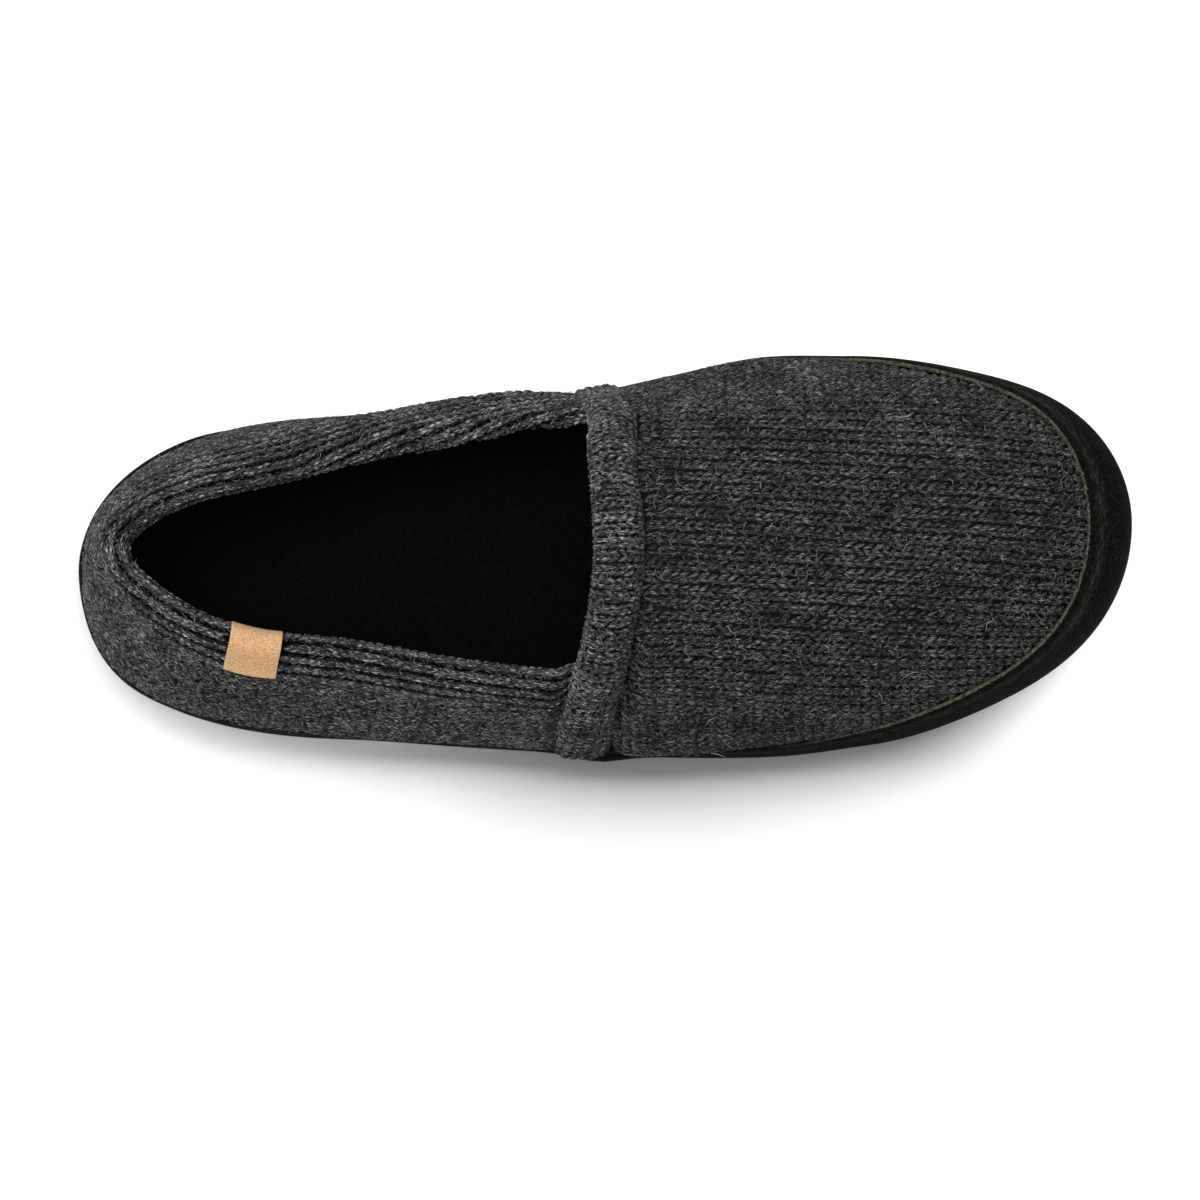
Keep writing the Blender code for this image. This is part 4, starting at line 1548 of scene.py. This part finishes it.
    def stitches(self, surface: Surface, leg: YarnLeg) -> tuple[Array, Array, Array]:
        """Places of the stitches, in wales that follow the collar.

        Args:
            surface: surface under the stitches.
            leg: leg that gives their sizes.

        Returns:
            Rows, columns and slants.
        """
        rows, columns, slants = [], [], []
        index = np.arange(len(surface.points)).astype(float)
        edge = summed(surface.row_size[1:, self.edge_column])
        shift = self.slant * np.clip(self.slant_run - edge, 0, None)
        first = self.first_wale - self.wales_before * leg.wale
        for k, wale in enumerate(np.arange(first, self.reach, leg.wale)):
            column = (wale + shift) / self.spacing
            tall = surface.read(surface.row_size, index, column)
            length = summed(tall[1:])
            places = np.arange(0.5 * (k % 2), length[-1], leg.course)
            row = np.interp(places, length, index)
            start = np.interp(row, index, column)
            inside = (start > self.bare_edge / self.spacing) & (start < surface.points.shape[1] - 3)
            rows.append(row[inside])
            columns.append(start[inside])
            slants.append(np.where(np.interp(row, index, shift) > 0, -math.atan(self.slant), 0.0)[inside])
        return np.concatenate(rows), np.concatenate(columns), np.concatenate(slants)


@dataclass
class Cuff(Knit):
    """Turned hem over the instep: a puffy band whose wales run round the fold."""

    rear: float = 142.2
    front: float = 156.2
    height: float = 5.2
    foot_heights: Pair = (1.5, 0.5)
    # How far the rear edge slips to the toe at the foot of each side
    slips: Pair = (-1.4, 2.6)
    rows: float = 0.7
    reach: float = 34.0
    across: int = 110
    hairs: int = 3000
    scatter: Pair = (1.0, 1.0)
    # Distance round the fold where wales are counted, places of the first wale and course, bare rear edge
    counted: float = 10.0
    starts: Pair = (0.5, 0.9)
    bare_edge: float = 0.6
    # Height of the stitches over their ground, depths of that ground and of the felt, and how far the felt's
    # underside is drawn in to its middle
    knit_lift: float = 0.25
    sinks: Pair = (0.45, 1.0)
    drawn_in: float = 0.45
    # Places and heights of the groove in front, powers that shape the dome, and its height at both edges
    groove: Rows = ((1.0, -0.9), (0.5, 0.2))
    dome_steps: int = 25
    dome_shape: Pair = (2.4, 0.55)
    dome_edge: float = 0.9
    # Climbs from the collar's edge over which the tail opens into the throat
    opening: Pair = (-0.02, 0.10)
    # Tail that turns into the throat: places before the rear edge, and heights where it is open or closed
    tail: tuple[float, ...] = (0.5, 0.75, 0.7, 0.2, -0.9, -2.2)
    open_tail: tuple[float, ...] = (0.3, -0.9, -2.2, -3.5, -4.5, -4.9)
    closed_tail: tuple[float, ...] = (0.1, -0.6, -0.9, -0.9, -0.9, -0.9)
    closed_place: float = 0.55

    def profile(self, climb: Array, side: Side, sink: float) -> Array:
        """Points round the fold, from the groove at its front over the dome to the throat.

        Args:
            climb: shares of the way from the rand to the ridge.
            side: side of the shoe.
            sink: depth under the cuff's own skin.

        Returns:
            Rows by share, columns round the fold.
        """
        last = self.last
        throat_turn = last.turn_of(last.throats[side.value], side)
        collar = float(last.collar_climb(np.array([throat_turn]))[0])
        over = np.linspace(-1, 1, self.dome_steps)
        middle, half = (self.rear + self.front) / 2, (self.front - self.rear) / 2
        dome = (1 - np.abs(over) ** self.dome_shape[0]) ** self.dome_shape[1]
        ahead, low = np.transpose(self.groove)
        ridge = np.concatenate([self.front + ahead, middle - half * over, self.rear - np.array(self.tail)])
        end = 2 + self.dome_steps
        turn = last.turn_at_ridge(ridge, side)
        start = last.rand_climb(turn)
        angle = start[None] + (QUARTER_TURN - start)[None] * climb[:, None]
        foot = self.foot_heights[side.value]
        puff = foot + (self.height - foot) * np.sin(angle[:, 2:end]) ** 2
        lift = np.empty_like(angle)
        lift[:, :2] = low
        lift[:, 2:end] = self.dome_edge + dome * puff
        opened = ease(angle[:, end:], collar + self.opening[0], collar + self.opening[1])
        lift[:, end:] = opened * np.array(self.open_tail) + (1 - opened) * np.array(self.closed_tail)
        bent = np.broadcast_to(ridge[None], angle.shape).copy()
        inside = opened[:, 1:]
        bent[:, end + 1 :] = inside * ridge[end + 1 :] + (1 - inside) * (self.rear - self.closed_place)
        bent += self.slips[side.value] * (1 - climb[:, None]) * (self.front - bent) / (self.front - self.rear)
        turn = last.turn_at_ridge(bent, side)
        lift[:, 1 : end + 1] -= sink
        return last.skin(turn, angle, lift)

    def grid(self, sink: float) -> Array:
        """Profiles from the lateral rand over the ridge to the medial rand.

        Args:
            sink: depth under the cuff's own skin.

        Returns:
            Rows across the foot, columns round the fold.
        """
        share = np.linspace(-0.02, 1, self.across)
        lateral = self.profile(share, Side.LATERAL, sink)
        medial = self.profile(share, Side.MEDIAL, sink)
        return np.concatenate([lateral, medial[-2::-1]])

    def surface(self) -> Surface:
        """Skin of the cuff: rows across the foot and columns round the fold from its front."""
        return Surface(evened(self.grid(self.sinks[0]), self.rows, self.reach).swapaxes(0, 1), -1.0)

    def build(self) -> list[Any]:
        """Knits the cuff.

        Returns:
            The stitches and the hairs.
        """
        surface = self.surface()
        profile = self.grid(self.sinks[0])
        total = length_of(np.diff(profile, axis=1)).sum(axis=1)
        line = surface.points[int(self.counted / self.rows)]
        length = run_along(line)
        wales = np.arange(self.starts[0], length[-1], self.leg.wale)
        courses = np.arange(self.starts[1], self.reach, self.leg.course)
        run, wale = (grid.ravel() for grid in np.meshgrid(courses, wales))
        column = np.interp(wale, length, np.arange(len(length)))
        row = run / self.rows
        keep = run < np.interp(column, np.arange(len(total)), total) - self.bare_edge
        row, column = row[keep], column[keep]
        pieces = [self.stitch_piece("cuff_knit", surface, row, column, np.full(len(row), self.knit_lift))]
        draw = np.random.default_rng(self.seed + 7)
        pick = draw.integers(0, len(row), self.hairs)
        pieces.append(self.hair_piece("cuff_hairs", surface, row[pick], column[pick], draw))
        return pieces

    def ground(self, felt: Any) -> Any:
        """Matted band under the stitches, closed along its underside.

        Args:
            felt: material.

        Returns:
            The piece.
        """
        outer = self.grid(self.sinks[1])
        middle = outer.mean(axis=1, keepdims=True)
        thin = outer[:, ::-1] + self.drawn_in * (middle - outer[:, ::-1])
        ring = np.concatenate([outer, thin, outer[:, :1]], axis=1)
        band = shaped_grid("cuff_felt", self.last.place(ring), felt)
        ends = []
        count = outer.shape[1]
        for index in (0, -1):
            strip = np.stack([ring[index, :count], ring[index, count : 2 * count][::-1]])
            ends.append(shaped_grid("cuff_end", self.last.place(strip), felt))
        return smooth_shaded(joined("cuff_felt", [band, *ends]))


@dataclass
class Shell:
    """Felt and fleece shell of the upper under the knit: two skins, a rolled rim and a flat foot."""

    last: Last
    felt: Any
    fleece: Any
    sink: float = 1.0
    rear: int = 60
    vamp: int = 36
    toe: int = 24
    low: int = 16
    high: int = 14
    roll: int = 10
    # How far the throat's edge is set back inside the cuff, how much more at each foot, and over what run
    set_back: float = 2.4
    slips: Pair = (0.8, 2.4)
    slip_run: float = 12.0

    def climbs(self, corner: Array) -> Array:
        """Climbs of whole sections: the first steps end at the collar's height, the others at the ridge.

        Args:
            corner: climbs of the collar's height.

        Returns:
            Climbs by section and step.
        """
        first = corner[:, None] * np.linspace(0, 1, self.low + 1)
        rest = corner[:, None] + (QUARTER_TURN - corner)[:, None] * np.linspace(0, 1, self.high + 1)[1:]
        return np.concatenate([first, rest], axis=1)

    def build(self) -> Any:
        """Lays the skins and joins them.

        Returns:
            The shell.
        """
        last = self.last
        rear = last.rear_turns(self.rear)
        place = np.mod(rear, 2)
        top = last.collar_climb(place)
        share = np.linspace(0, 1, self.low + 1)
        quarter = top[:, None] * share
        depth = last.wall_depth(share, place[:, None])
        sides = []
        for side, corner in ((Side.LATERAL, top[-1]), (Side.MEDIAL, top[0])):
            turn = last.front_turns(self.vamp, self.toe, side)
            climb = self.climbs(np.linspace(corner, (top[0] + top[-1]) / 2, len(turn)))
            thick = np.full_like(climb, last.wall)
            thick[0, : self.low + 1] = last.wall_depth(share, turn[0])
            thick[0, self.low + 1 :] = last.throat_wall
            thick[1] = (thick[0] + 3 * last.wall) / 4
            turn = np.repeat(turn[:, None], climb.shape[1], axis=1)
            up = (climb[0, self.low :] - corner) / (QUARTER_TURN - corner)
            slip = (self.set_back + self.slips[side.value] * (1 - up)) * ease(up, 0.0, 0.12)
            ridge = np.linspace(last.throat, last.toe_centre, self.vamp + 1)[:, None]
            slip = slip[1:] * np.exp((last.throat - ridge) / self.slip_run)
            turn[: self.vamp + 1, self.low + 1 :] = last.turn_at_ridge(ridge + slip, side)
            sides.append((turn, climb, thick))
        pieces, rims, feet = [], [], []
        for inner in (False, True):
            finish = self.fleece if inner else self.felt
            lift = -depth if inner else np.full_like(depth, -self.sink)
            wall = last.skin(place[:, None], quarter, lift)
            half = [last.skin(turn, climb, -thick if inner else -self.sink) for turn, climb, thick in sides]
            front = np.concatenate([half[0], half[1][:, -2::-1]], axis=1)
            pieces.append(shaped_grid("quarter_skin", last.place(wall), finish))
            pieces.append(shaped_grid("vamp_skin", last.place(front), finish))
            throat = np.concatenate([half[0][0, self.low :], half[1][0, -2 : self.low - 1 : -1]])
            rims.append(np.concatenate([wall[:, -1], throat[1:]]))
            feet.append(np.concatenate([wall[:, 0], half[0][1:, 0], half[1][-2::-1, 0]]))
        ahead = np.concatenate([wall[:, -1] - wall[:, -2], (half[0][0] - half[0][1])[self.low + 1 :],
                                (half[1][0] - half[1][1])[-2 : self.low - 1 : -1]])
        rim = rolled_rim(rims[0], rims[1], ahead, self.roll)
        pieces.append(shaped_grid("rim", last.place(rim), self.fleece))
        pieces.append(shaped_grid("foot", last.place(np.stack(feet, axis=1)), self.felt))
        return smooth_shaded(joined("upper_lining", pieces))


@dataclass
class Rand:
    """Suede band round the foot of the upper, with a rounded raw top edge."""

    last: Last
    suede: Any
    raw: Any
    thickness: float = 1.0
    bead: float = 0.40
    wrinkle: float = 0.35
    pulled: Pair = (170.0, 225.0)
    # Places and widths of the bead and of the wrinkle below the edge, and the length of the wrinkle's waves
    bead_place: Pair = (1.7, 1.1)
    wrinkle_place: Pair = (4.0, 0.9)
    wave_length: float = 17.0
    # Extra width of the raw edge round the toe, where that comes in, and the edge's raggedness
    toe_edge: float = 0.3
    toe_edge_run: Pair = (190.0, 245.0)
    ragged: float = 0.09
    seed: int = 5
    # Rows up the band and how they crowd to its edge, steps round the edge, and rows to each row inside
    steps: int = 24
    crowding: float = 1.6
    edge_steps: int = 6
    inner_every: int = 6
    turns: int = 600

    def build(self) -> Any:
        """Lays the band and its edge.

        Returns:
            The piece.
        """
        last = self.last
        turn = np.linspace(0, 2, self.turns + 1)[:, None]
        draw = np.random.default_rng(self.seed)
        tear = draw.normal(0, self.ragged, turn.shape)
        tear[-1] = tear[0]
        top = last.climb_to(turn, last.rand_height(last.station_of(turn)) + tear)
        climb = top * (1 - np.linspace(1, 0, self.steps + 1) ** self.crowding)
        gap = last.seat_gap
        thick = gap + self.thickness + self.toe_edge * ease(last.station_of(turn), *self.toe_edge_run)
        flat = last.skin(turn, climb, thick, 0.0)
        outer = last.skin(turn, climb, thick + self.folds(turn, flat), 0.0)
        inner = last.skin(turn, climb[:, :: self.inner_every][:, ::-1], gap, 0.0)
        away = outer[:, -1] - outer[:, -2]
        edge = rolled_rim(outer[:, -1], inner[:, 0], away, self.edge_steps)
        for part in (outer, inner):
            part[..., 2] = np.maximum(part[..., 2], last.seat_height(part[..., 0]))
        ring = np.concatenate([outer, edge[:, 1:-1], inner, outer[:, :1]], axis=1)
        around = run_along(outer[:, -1])
        size = length_of(np.diff(ring, axis=1))
        up = np.concatenate([np.zeros((len(ring), 1)), np.cumsum(size, axis=1)], axis=1)
        chart = np.stack([np.broadcast_to(around[:, None], up.shape), up - up[:, self.steps, None]], axis=-1)
        made = shaped_grid("rand_suede", last.place(ring), self.suede)
        made.data.materials.append(self.raw)
        self.map_band(made, chart)
        self.paint_edge(made, ring.shape[1])
        return smooth_shaded(joined("rand_suede", [made]), 70.0)

    def folds(self, turn: Array, flat: Array) -> Array:
        """Height of the bead under the raw edge and of the wrinkles below it, where the suede rounds the toe.

        Args:
            turn: places round the band.
            flat: the band's outer skin without folds.

        Returns:
            Heights in millimetres.
        """
        size = length_of(np.diff(flat, axis=1))
        below = np.concatenate([np.cumsum(size[:, ::-1], axis=1)[:, ::-1], np.zeros((len(flat), 1))], axis=1)
        # Two beats that seldom fall together keep the wrinkles uneven
        phase = 2 * np.pi * self.last.station_of(turn) / self.wave_length + 9.0 * turn
        waves = 0.6 + 0.4 * np.sin(phase) * np.sin(1.7 * phase + 1.0)
        place, width = self.bead_place
        bead = self.bead * np.exp(-(((below - place) / width) ** 2))
        place, width = self.wrinkle_place
        trough = self.wrinkle * waves * np.exp(-(((below - place - 0.6 * waves) / width) ** 2))
        return ease(self.last.station_of(turn), *self.pulled) * (bead - trough)

    def map_band(self, made: Any, chart: Array) -> None:
        """Writes the map along and up the band, from the grid's own even map.

        Args:
            made: the band.
            chart: millimetres along and up by row and column.
        """
        data = made.data
        even = np.empty(len(data.loops) * 2, np.float32)
        data.uv_layers[0].data.foreach_get("uv", even)
        even = even.reshape(-1, 2)
        row = np.rint(even[:, 1] * (chart.shape[0] - 1)).astype(int)
        column = np.rint(even[:, 0] * (chart.shape[1] - 1)).astype(int)
        data.uv_layers[0].name = "band"
        data.uv_layers[0].data.foreach_set("uv", chart[row, column].astype(np.float32).ravel())

    def paint_edge(self, made: Any, columns: int) -> None:
        """Gives the raw finish to the faces of the rounded top edge.

        Args:
            made: the band.
            columns: points round its section.
        """
        first, final = self.steps + 1, self.steps + self.edge_steps - 1
        for face in made.data.polygons:
            column = face.index % (columns - 1)
            face.material_index = 1 if first <= column <= final else 0


@dataclass
class Plate:
    """A flat piece under the foot, laid as rings round its edge and a cover on each face."""

    last: Last
    finish: Any
    turns: int = 240
    columns: int = 41

    def ring(self, inset: float, level: float, turn: Array) -> Array:
        """Points of one ring of the edge."""
        raise NotImplementedError

    def shape_cover(self, cover: Array, level: float) -> None:
        """Works the relief of one face into its points."""
        raise NotImplementedError

    def laid(self, name: str, rings: Rows) -> Any:
        """Lays the side and both faces, and joins them.

        Args:
            name: name of the piece.
            rings: insets and levels of the rings round the edge, from the bottom to the top.

        Returns:
            The piece.
        """
        turn = np.linspace(0, 2, self.turns + 1)
        side = np.stack([self.ring(inset, level, turn) for inset, level in rings], axis=1)
        pieces = [shaped_grid(f"{name}_side", self.last.place(side), self.finish)]
        half = np.linspace(0, 1, self.turns // 2 + 1)
        across = np.linspace(0, 1, self.columns)[:, None]
        for inset, level in (rings[0], rings[-1]):
            left, right = (self.ring(inset, level, way)[:, None] for way in (half, 2 - half))
            cover = left + (right - left) * across
            self.shape_cover(cover, level)
            pieces.append(shaped_grid(f"{name}_cover", self.last.place(cover), self.finish))
        return smooth_shaded(joined(name, pieces), 60.0)


@dataclass
class Sole(Plate):
    """Rubber outsole: a rounded side, a flat heel and ball, and a fine wavy tread."""

    heel_bevel: float = 2.0
    heel_bevel_end: float = 22.0
    arch_rise: float = 1.5
    arch: Pair = (88.0, 152.0)
    arch_slope: float = 15.0
    groove_pitch: float = 7.0
    groove_width: float = 1.6
    groove_slope: float = 0.8
    groove_depth: float = 1.0
    wave: float = 3.0
    wave_run: float = 9.0
    # Shares of the width between which the grooves come in from the edge
    border: Pair = (0.04, 0.10)
    # Rings of the side from the tread to the seat: inset, and share of the height
    rings: Rows = (
        (2.0, 0.0), (1.3, 0.04), (0.7, 0.12), (0.2, 0.28), (0.0, 0.45), (0.0, 0.75), (0.1, 0.87), (0.4, 0.95),
        (0.9, 1.0))
    # How far the side is trimmed, how much fuller the lateral and the medial heel are, and where that ends
    trim: float = 0.6
    fuller: Pair = (1.1, 2.0)
    fuller_ends: Rows = ((6.0, 24.0), (30.0, 60.0))
    sides: Pair = (-10.0, 10.0)
    # How much fuller it is under the cuff's lateral foot, at what station and over what reach
    foot: Triple = (2.0, 139.5, 9.0)

    def underside(self, x: Array) -> Array:
        """Height of the tread at a station.

        Args:
            x: station.

        Returns:
            Heights in millimetres.
        """
        start, end = self.arch
        slope = self.arch_slope
        arch = self.arch_rise * ease(x, start, start + slope) * (1 - ease(x, end - slope, end))
        heel = self.heel_bevel * np.clip(1 - x / self.heel_bevel_end, 0, None) ** 2
        return arch + heel + self.last.toe_lift(x)

    def ring(self, inset: float, level: float, turn: Array) -> Array:
        """Points of one ring of the edge.

        Args:
            inset: distance inward.
            level: share of the sole's height.
            turn: place round the outline.

        Returns:
            Points in millimetres.
        """
        edge = self.last.sole_edge(turn)
        x, inner = edge[..., 0], ease(edge[..., 1], *self.sides)
        lateral, medial = (full * (1 - ease(x, *end)) for full, end in zip(self.fuller, self.fuller_ends))
        more, station, reach = self.foot
        foot = more * (1 - inner) * np.exp(-(((x - station) / reach) ** 2))
        plan = self.last.outline(turn, inset + self.trim - medial * inner - lateral * (1 - inner) - foot)
        x = plan[..., :1]
        low = self.underside(x)
        high = self.last.sole_thickness + self.last.toe_lift(x)
        return np.concatenate([plan, low + level * (high - low)], axis=-1)

    def shape_cover(self, cover: Array, level: float) -> None:
        """Cuts the grooves of the tread into the underside.

        Args:
            cover: points of the face, which are moved.
            level: 0 for the underside.
        """
        if level:
            return
        share = np.linspace(0, 1, self.columns)
        middle = self.columns // 2
        wide = np.abs(cover[..., 1] - cover[:, middle : middle + 1, 1])
        wavy = cover[..., 0] + self.wave * np.cos(wide / self.wave_run)
        phase = np.abs(np.mod(wavy / self.groove_pitch, 1.0) - 0.5) * self.groove_pitch
        groove = 1 - ease(phase, self.groove_width / 2, self.groove_width / 2 + self.groove_slope)
        cover[..., 2] += self.groove_depth * groove * ease(np.minimum(share, 1 - share), *self.border)

    def build(self) -> Any:
        """Lays the sole."""
        return self.laid("sole_rubber", self.rings)


@dataclass
class Footbed(Plate):
    """Foam footbed under fleece: crowned at its edge, a little cupped under the heel."""

    turns: int = 200
    columns: int = 25
    thickness: float = 7.5
    clearance: float = 1.0
    # Depth, station and reach of the cup under the heel
    cup: float = 0.6
    cup_station: float = 48.0
    cup_reach: Pair = (8.0, 34.0)

    def ring(self, inset: float, level: float, turn: Array) -> Array:
        """Points of one ring of the edge; level is a height over the seat."""
        plan = self.last.outline(turn, self.last.upper_inset + self.last.wall + self.clearance + inset)
        return np.concatenate([plan, self.last.seat_height(plan[..., :1]) + level], axis=-1)

    def shape_cover(self, cover: Array, level: float) -> None:
        """Cups the top under the heel.

        Args:
            cover: points of the face, which are moved.
            level: 0 for the underside.
        """
        if level:
            from_heel = np.hypot(cover[..., 0] - self.cup_station, cover[..., 1])
            cover[..., 2] -= self.cup * (1 - ease(from_heel, *self.cup_reach))

    def build(self) -> Any:
        """Lays the footbed.

        Returns:
            The piece.
        """
        thick = self.thickness
        rings = ((0.6, 0.0), (0.1, 0.3), (0.0, 0.8), (0.1, 0.35 * thick), (0.4, 0.55 * thick),
                 (1.0, 0.76 * thick), (2.0, 0.9 * thick), (3.1, 0.97 * thick), (4.5, thick))
        return self.laid("footbed_fleece", rings)


@dataclass
class LabelTab:
    """Bare tape folded over the lateral collar, stitched inside, its outer end curling a little."""

    last: Last
    tape: Any
    middle: float = 34.5
    width: float = 14.6
    lean: float = 0.32
    thickness: float = 0.8
    drop: float = 7.5
    curl: float = 0.7
    bow: float = 0.25
    worn: float = 0.18
    lift: float = 0.95
    # Points across the tape and down it, steps round the fold, and rows on the inner side
    columns: int = 17
    rows: int = 14
    fold_steps: int = 16
    inner_rows: int = 6

    def strip(self, down: Array, lift: Any, inward: bool) -> Array:
        """Points of the tape with its sides parallel.

        Args:
            down: distances below the collar's edge.
            lift: height over the last.
            inward: True on the inner side of the wall.

        Returns:
            Points by place across the tape and distance down.
        """
        last = self.last
        centre = float(last.turn_of(self.middle))
        across = np.linspace(-self.width / 2, self.width / 2, self.columns)[:, None]
        top = last.collar_climb(np.array([centre]))
        slope = length_of(last.skin(centre, top) - last.skin(centre, top - 0.1)) / 0.1
        climb = top - down / slope
        deep = -last.wall_depth(climb / top, centre) - self.lift if inward else self.lift
        beside = last.skin(centre + STEP, climb, deep) - last.skin(centre - STEP, climb, deep)
        size = length_of(beside)
        turn = centre + (across + self.lean * down) / size * 2 * STEP
        return last.skin(turn, last.collar_climb(turn) - down / slope, deep + lift)

    def grid(self) -> Array:
        """Points of the tape from its outer end over the fold to its inner end.

        Returns:
            Points by place across the tape and along it.
        """
        down = self.drop * np.linspace(1, 0, self.rows)
        bow = self.bow * np.cos(np.linspace(-QUARTER_TURN, QUARTER_TURN, self.columns))[:, None]
        outside = self.strip(down, (down / self.drop) * (self.curl * (down / self.drop) ** 2 + bow), False)
        inside = self.strip(down[::-1], 0.0, True)
        roll = rolled_rim(outside[:, -1], inside[:, 0], outside[:, -1] - outside[:, -2], self.fold_steps)
        return np.concatenate([outside, roll[:, 1:-1], inside[:, : self.inner_rows]], axis=1)

    def build(self) -> Any:
        """Thickens the tape and rounds its edges.

        Returns:
            The piece.
        """
        made = shaped_grid("label_tape", self.last.place(self.grid()), self.tape)
        thick = made.modifiers.new("tape thickness", "SOLIDIFY")
        thick.thickness = self.thickness * MM
        thick.offset = 1.0
        round_edge = made.modifiers.new("worn edge", "BEVEL")
        round_edge.width = self.worn * MM
        round_edge.segments = 2
        round_edge.limit_method = "ANGLE"
        for modifier in (thick, round_edge):
            bpy.ops.object.modifier_apply(modifier=modifier.name)
        return smooth_shaded(joined("label_tape", [made], 1e-7))


@dataclass
class Studio:
    """White floor, soft light and a camera nearly over the shoe."""

    distance: float = 2.4
    tilt: float = 5.9
    roll: float = 3.27
    target: Triple = (-0.0026, -0.00916, 0.010)
    millimetres_per_pixel: float = 0.2757
    picture: int = 1200
    sensor: float = 36.0
    room_light: float = 0.36

    def build(self) -> None:
        """Sets the floor, the lights, the world and the camera."""
        self.lights(self.floor())
        self.camera()

    def floor(self) -> Any:
        """Lays a wide floor under the sole.

        Returns:
            The floor.
        """
        deselect()
        bpy.ops.mesh.primitive_plane_add(size=12.0, location=(0, 0, 0))
        floor = bpy.context.active_object
        floor.name = "studio_floor"
        floor.data.materials.append(FLOOR.make())
        return floor

    def lights(self, floor: Any) -> None:
        """Hangs a key and a fill light for the shoe and three lights for the floor, and fills the room.

        Args:
            floor: the floor, which the shoe's lights leave out and the other lights are for.
        """
        world = bpy.data.worlds.new("studio_room")
        bpy.context.scene.world = world
        world.use_nodes = True
        back = world.node_tree.nodes["Background"]
        back.inputs["Color"].default_value = (1.0, 1.0, 1.0, 1.0)
        back.inputs["Strength"].default_value = self.room_light
        small = (0.03, 0.03)
        for_shoe = (
            self.softbox("key_softbox", (-0.5, 0.27, 1.3), (0.7, 0.7), 20.5),
            self.softbox("fill_softbox", (0.0, -0.12, 1.25), (0.9, 0.9), 8.5))
        for_floor = (
            self.softbox("floor_softbox", (0.06, 0.6, 1.3), (2.2, 0.9), 34.8),
            self.softbox("toe_softbox", (0.28, -0.19, 0.36), small, 0.012, (0.145, -0.03, 0.0), 0.28),
            self.softbox("heel_softbox", (-0.32, -0.1, 0.36), small, 0.014, (-0.125, -0.04, 0.0), 0.42))
        for lamp in for_shoe + for_floor:
            state = "EXCLUDE" if lamp in for_shoe else "INCLUDE"
            group = bpy.data.collections.new(f"{lamp.name}_receivers")
            group.objects.link(floor)
            group.collection_objects[0].light_linking.link_state = state
            lamp.light_linking.receiver_collection = group
        view = bpy.context.scene.view_settings
        view.view_transform = "Standard"
        view.look = "None"

    def softbox(self, name: str, place: Triple, size: Pair, power: float,
                aim: Triple = (0.0, 0.0, 0.0), spread: float = math.pi) -> Any:
        """Hangs a light that faces the shoe.

        Args:
            name: name of the light.
            place: where it hangs, in metres.
            size: lengths of its sides in metres.
            power: power in watts.
            aim: what it faces, in metres.
            spread: angle of its beam.

        Returns:
            The light.
        """
        light = bpy.data.lights.new(name, "AREA")
        light.shape = "RECTANGLE"
        light.size, light.size_y = size
        light.energy = power
        light.spread = spread
        lamp = bpy.data.objects.new(name, light)
        bpy.context.scene.collection.objects.link(lamp)
        lamp.location = place
        lamp.rotation_euler = (Vector(aim) - Vector(place)).to_track_quat("-Z", "Y").to_euler()
        return lamp

    def camera(self) -> None:
        """Puts the camera at the photograph's angle and roll."""
        tilt, roll = math.radians(self.tilt), math.radians(self.roll)
        right = Vector((1, 0, 0))
        up = Vector((0, math.cos(tilt), math.sin(tilt)))
        back = Vector((0, -math.sin(tilt), math.cos(tilt)))
        turned_right = right * math.cos(roll) - up * math.sin(roll)
        turned_up = right * math.sin(roll) + up * math.cos(roll)
        place = Vector(self.target) + self.distance * back
        lens = bpy.data.cameras.new("overhead_camera")
        lens.sensor_width = self.sensor
        lens.lens = self.sensor * self.distance / (self.picture * self.millimetres_per_pixel * MM)
        lens.clip_start, lens.clip_end = 0.05, 50.0
        camera = bpy.data.objects.new("overhead_camera", lens)
        turn = Matrix((turned_right, turned_up, back)).transposed()
        camera.matrix_world = Matrix.Translation(place) @ turn.to_4x4()
        bpy.context.scene.collection.objects.link(camera)
        bpy.context.scene.camera = camera


def main() -> None:
    """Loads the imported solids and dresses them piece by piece."""
    logging.basicConfig(level=logging.INFO, format="%(message)s")
    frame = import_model()
    LOG.info("dressing %d solids", len(frame["nodes"]))
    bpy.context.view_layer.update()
    Studio().build()
    last = Last()
    hair, felt = WoolFibre().make(), FELT.make()
    shell = Shell(last, felt, LINING.make())
    hand_in(shell.build(), Slot.FLEECE, "upper")
    label = LabelTab(last, TAPE.make())
    for piece in Vamp(last, VAMP_YARN.make(), hair, 11, VAMP_LEG).build():
        hand_in(piece, Slot.WOOL)
    quarter = Quarter(last, WALL_YARN.make(), hair, 23, WALL_LEG)
    quarter.rope_yarn = ROPE_YARN.make()
    quarter.covered = label.grid().reshape(-1, 3)
    for piece in quarter.build():
        hand_in(piece, Slot.WOOL)
    cuff = Cuff(last, CUFF_YARN.make(), hair, 37, replace(VAMP_LEG, course=2.6, wale=3.7))
    hand_in(cuff.ground(felt), Slot.WOOL, "throat_cuff")
    for piece in cuff.build():
        hand_in(piece, Slot.WOOL)
    hand_in(Rand(last, Suede().make(), RawEdge().make()).build(), Slot.SUEDE, "rand")
    hand_in(Sole(last, RUBBER.make()).build(), Slot.RUBBER, "outsole")
    footbed = hand_in(Footbed(last, FOOTBED.make()).build(), Slot.FLEECE, "insole")
    hand_in(label.build(), Slot.TAPE, "label_tab")
    deselect()


if __name__ == "__main__":
    main()
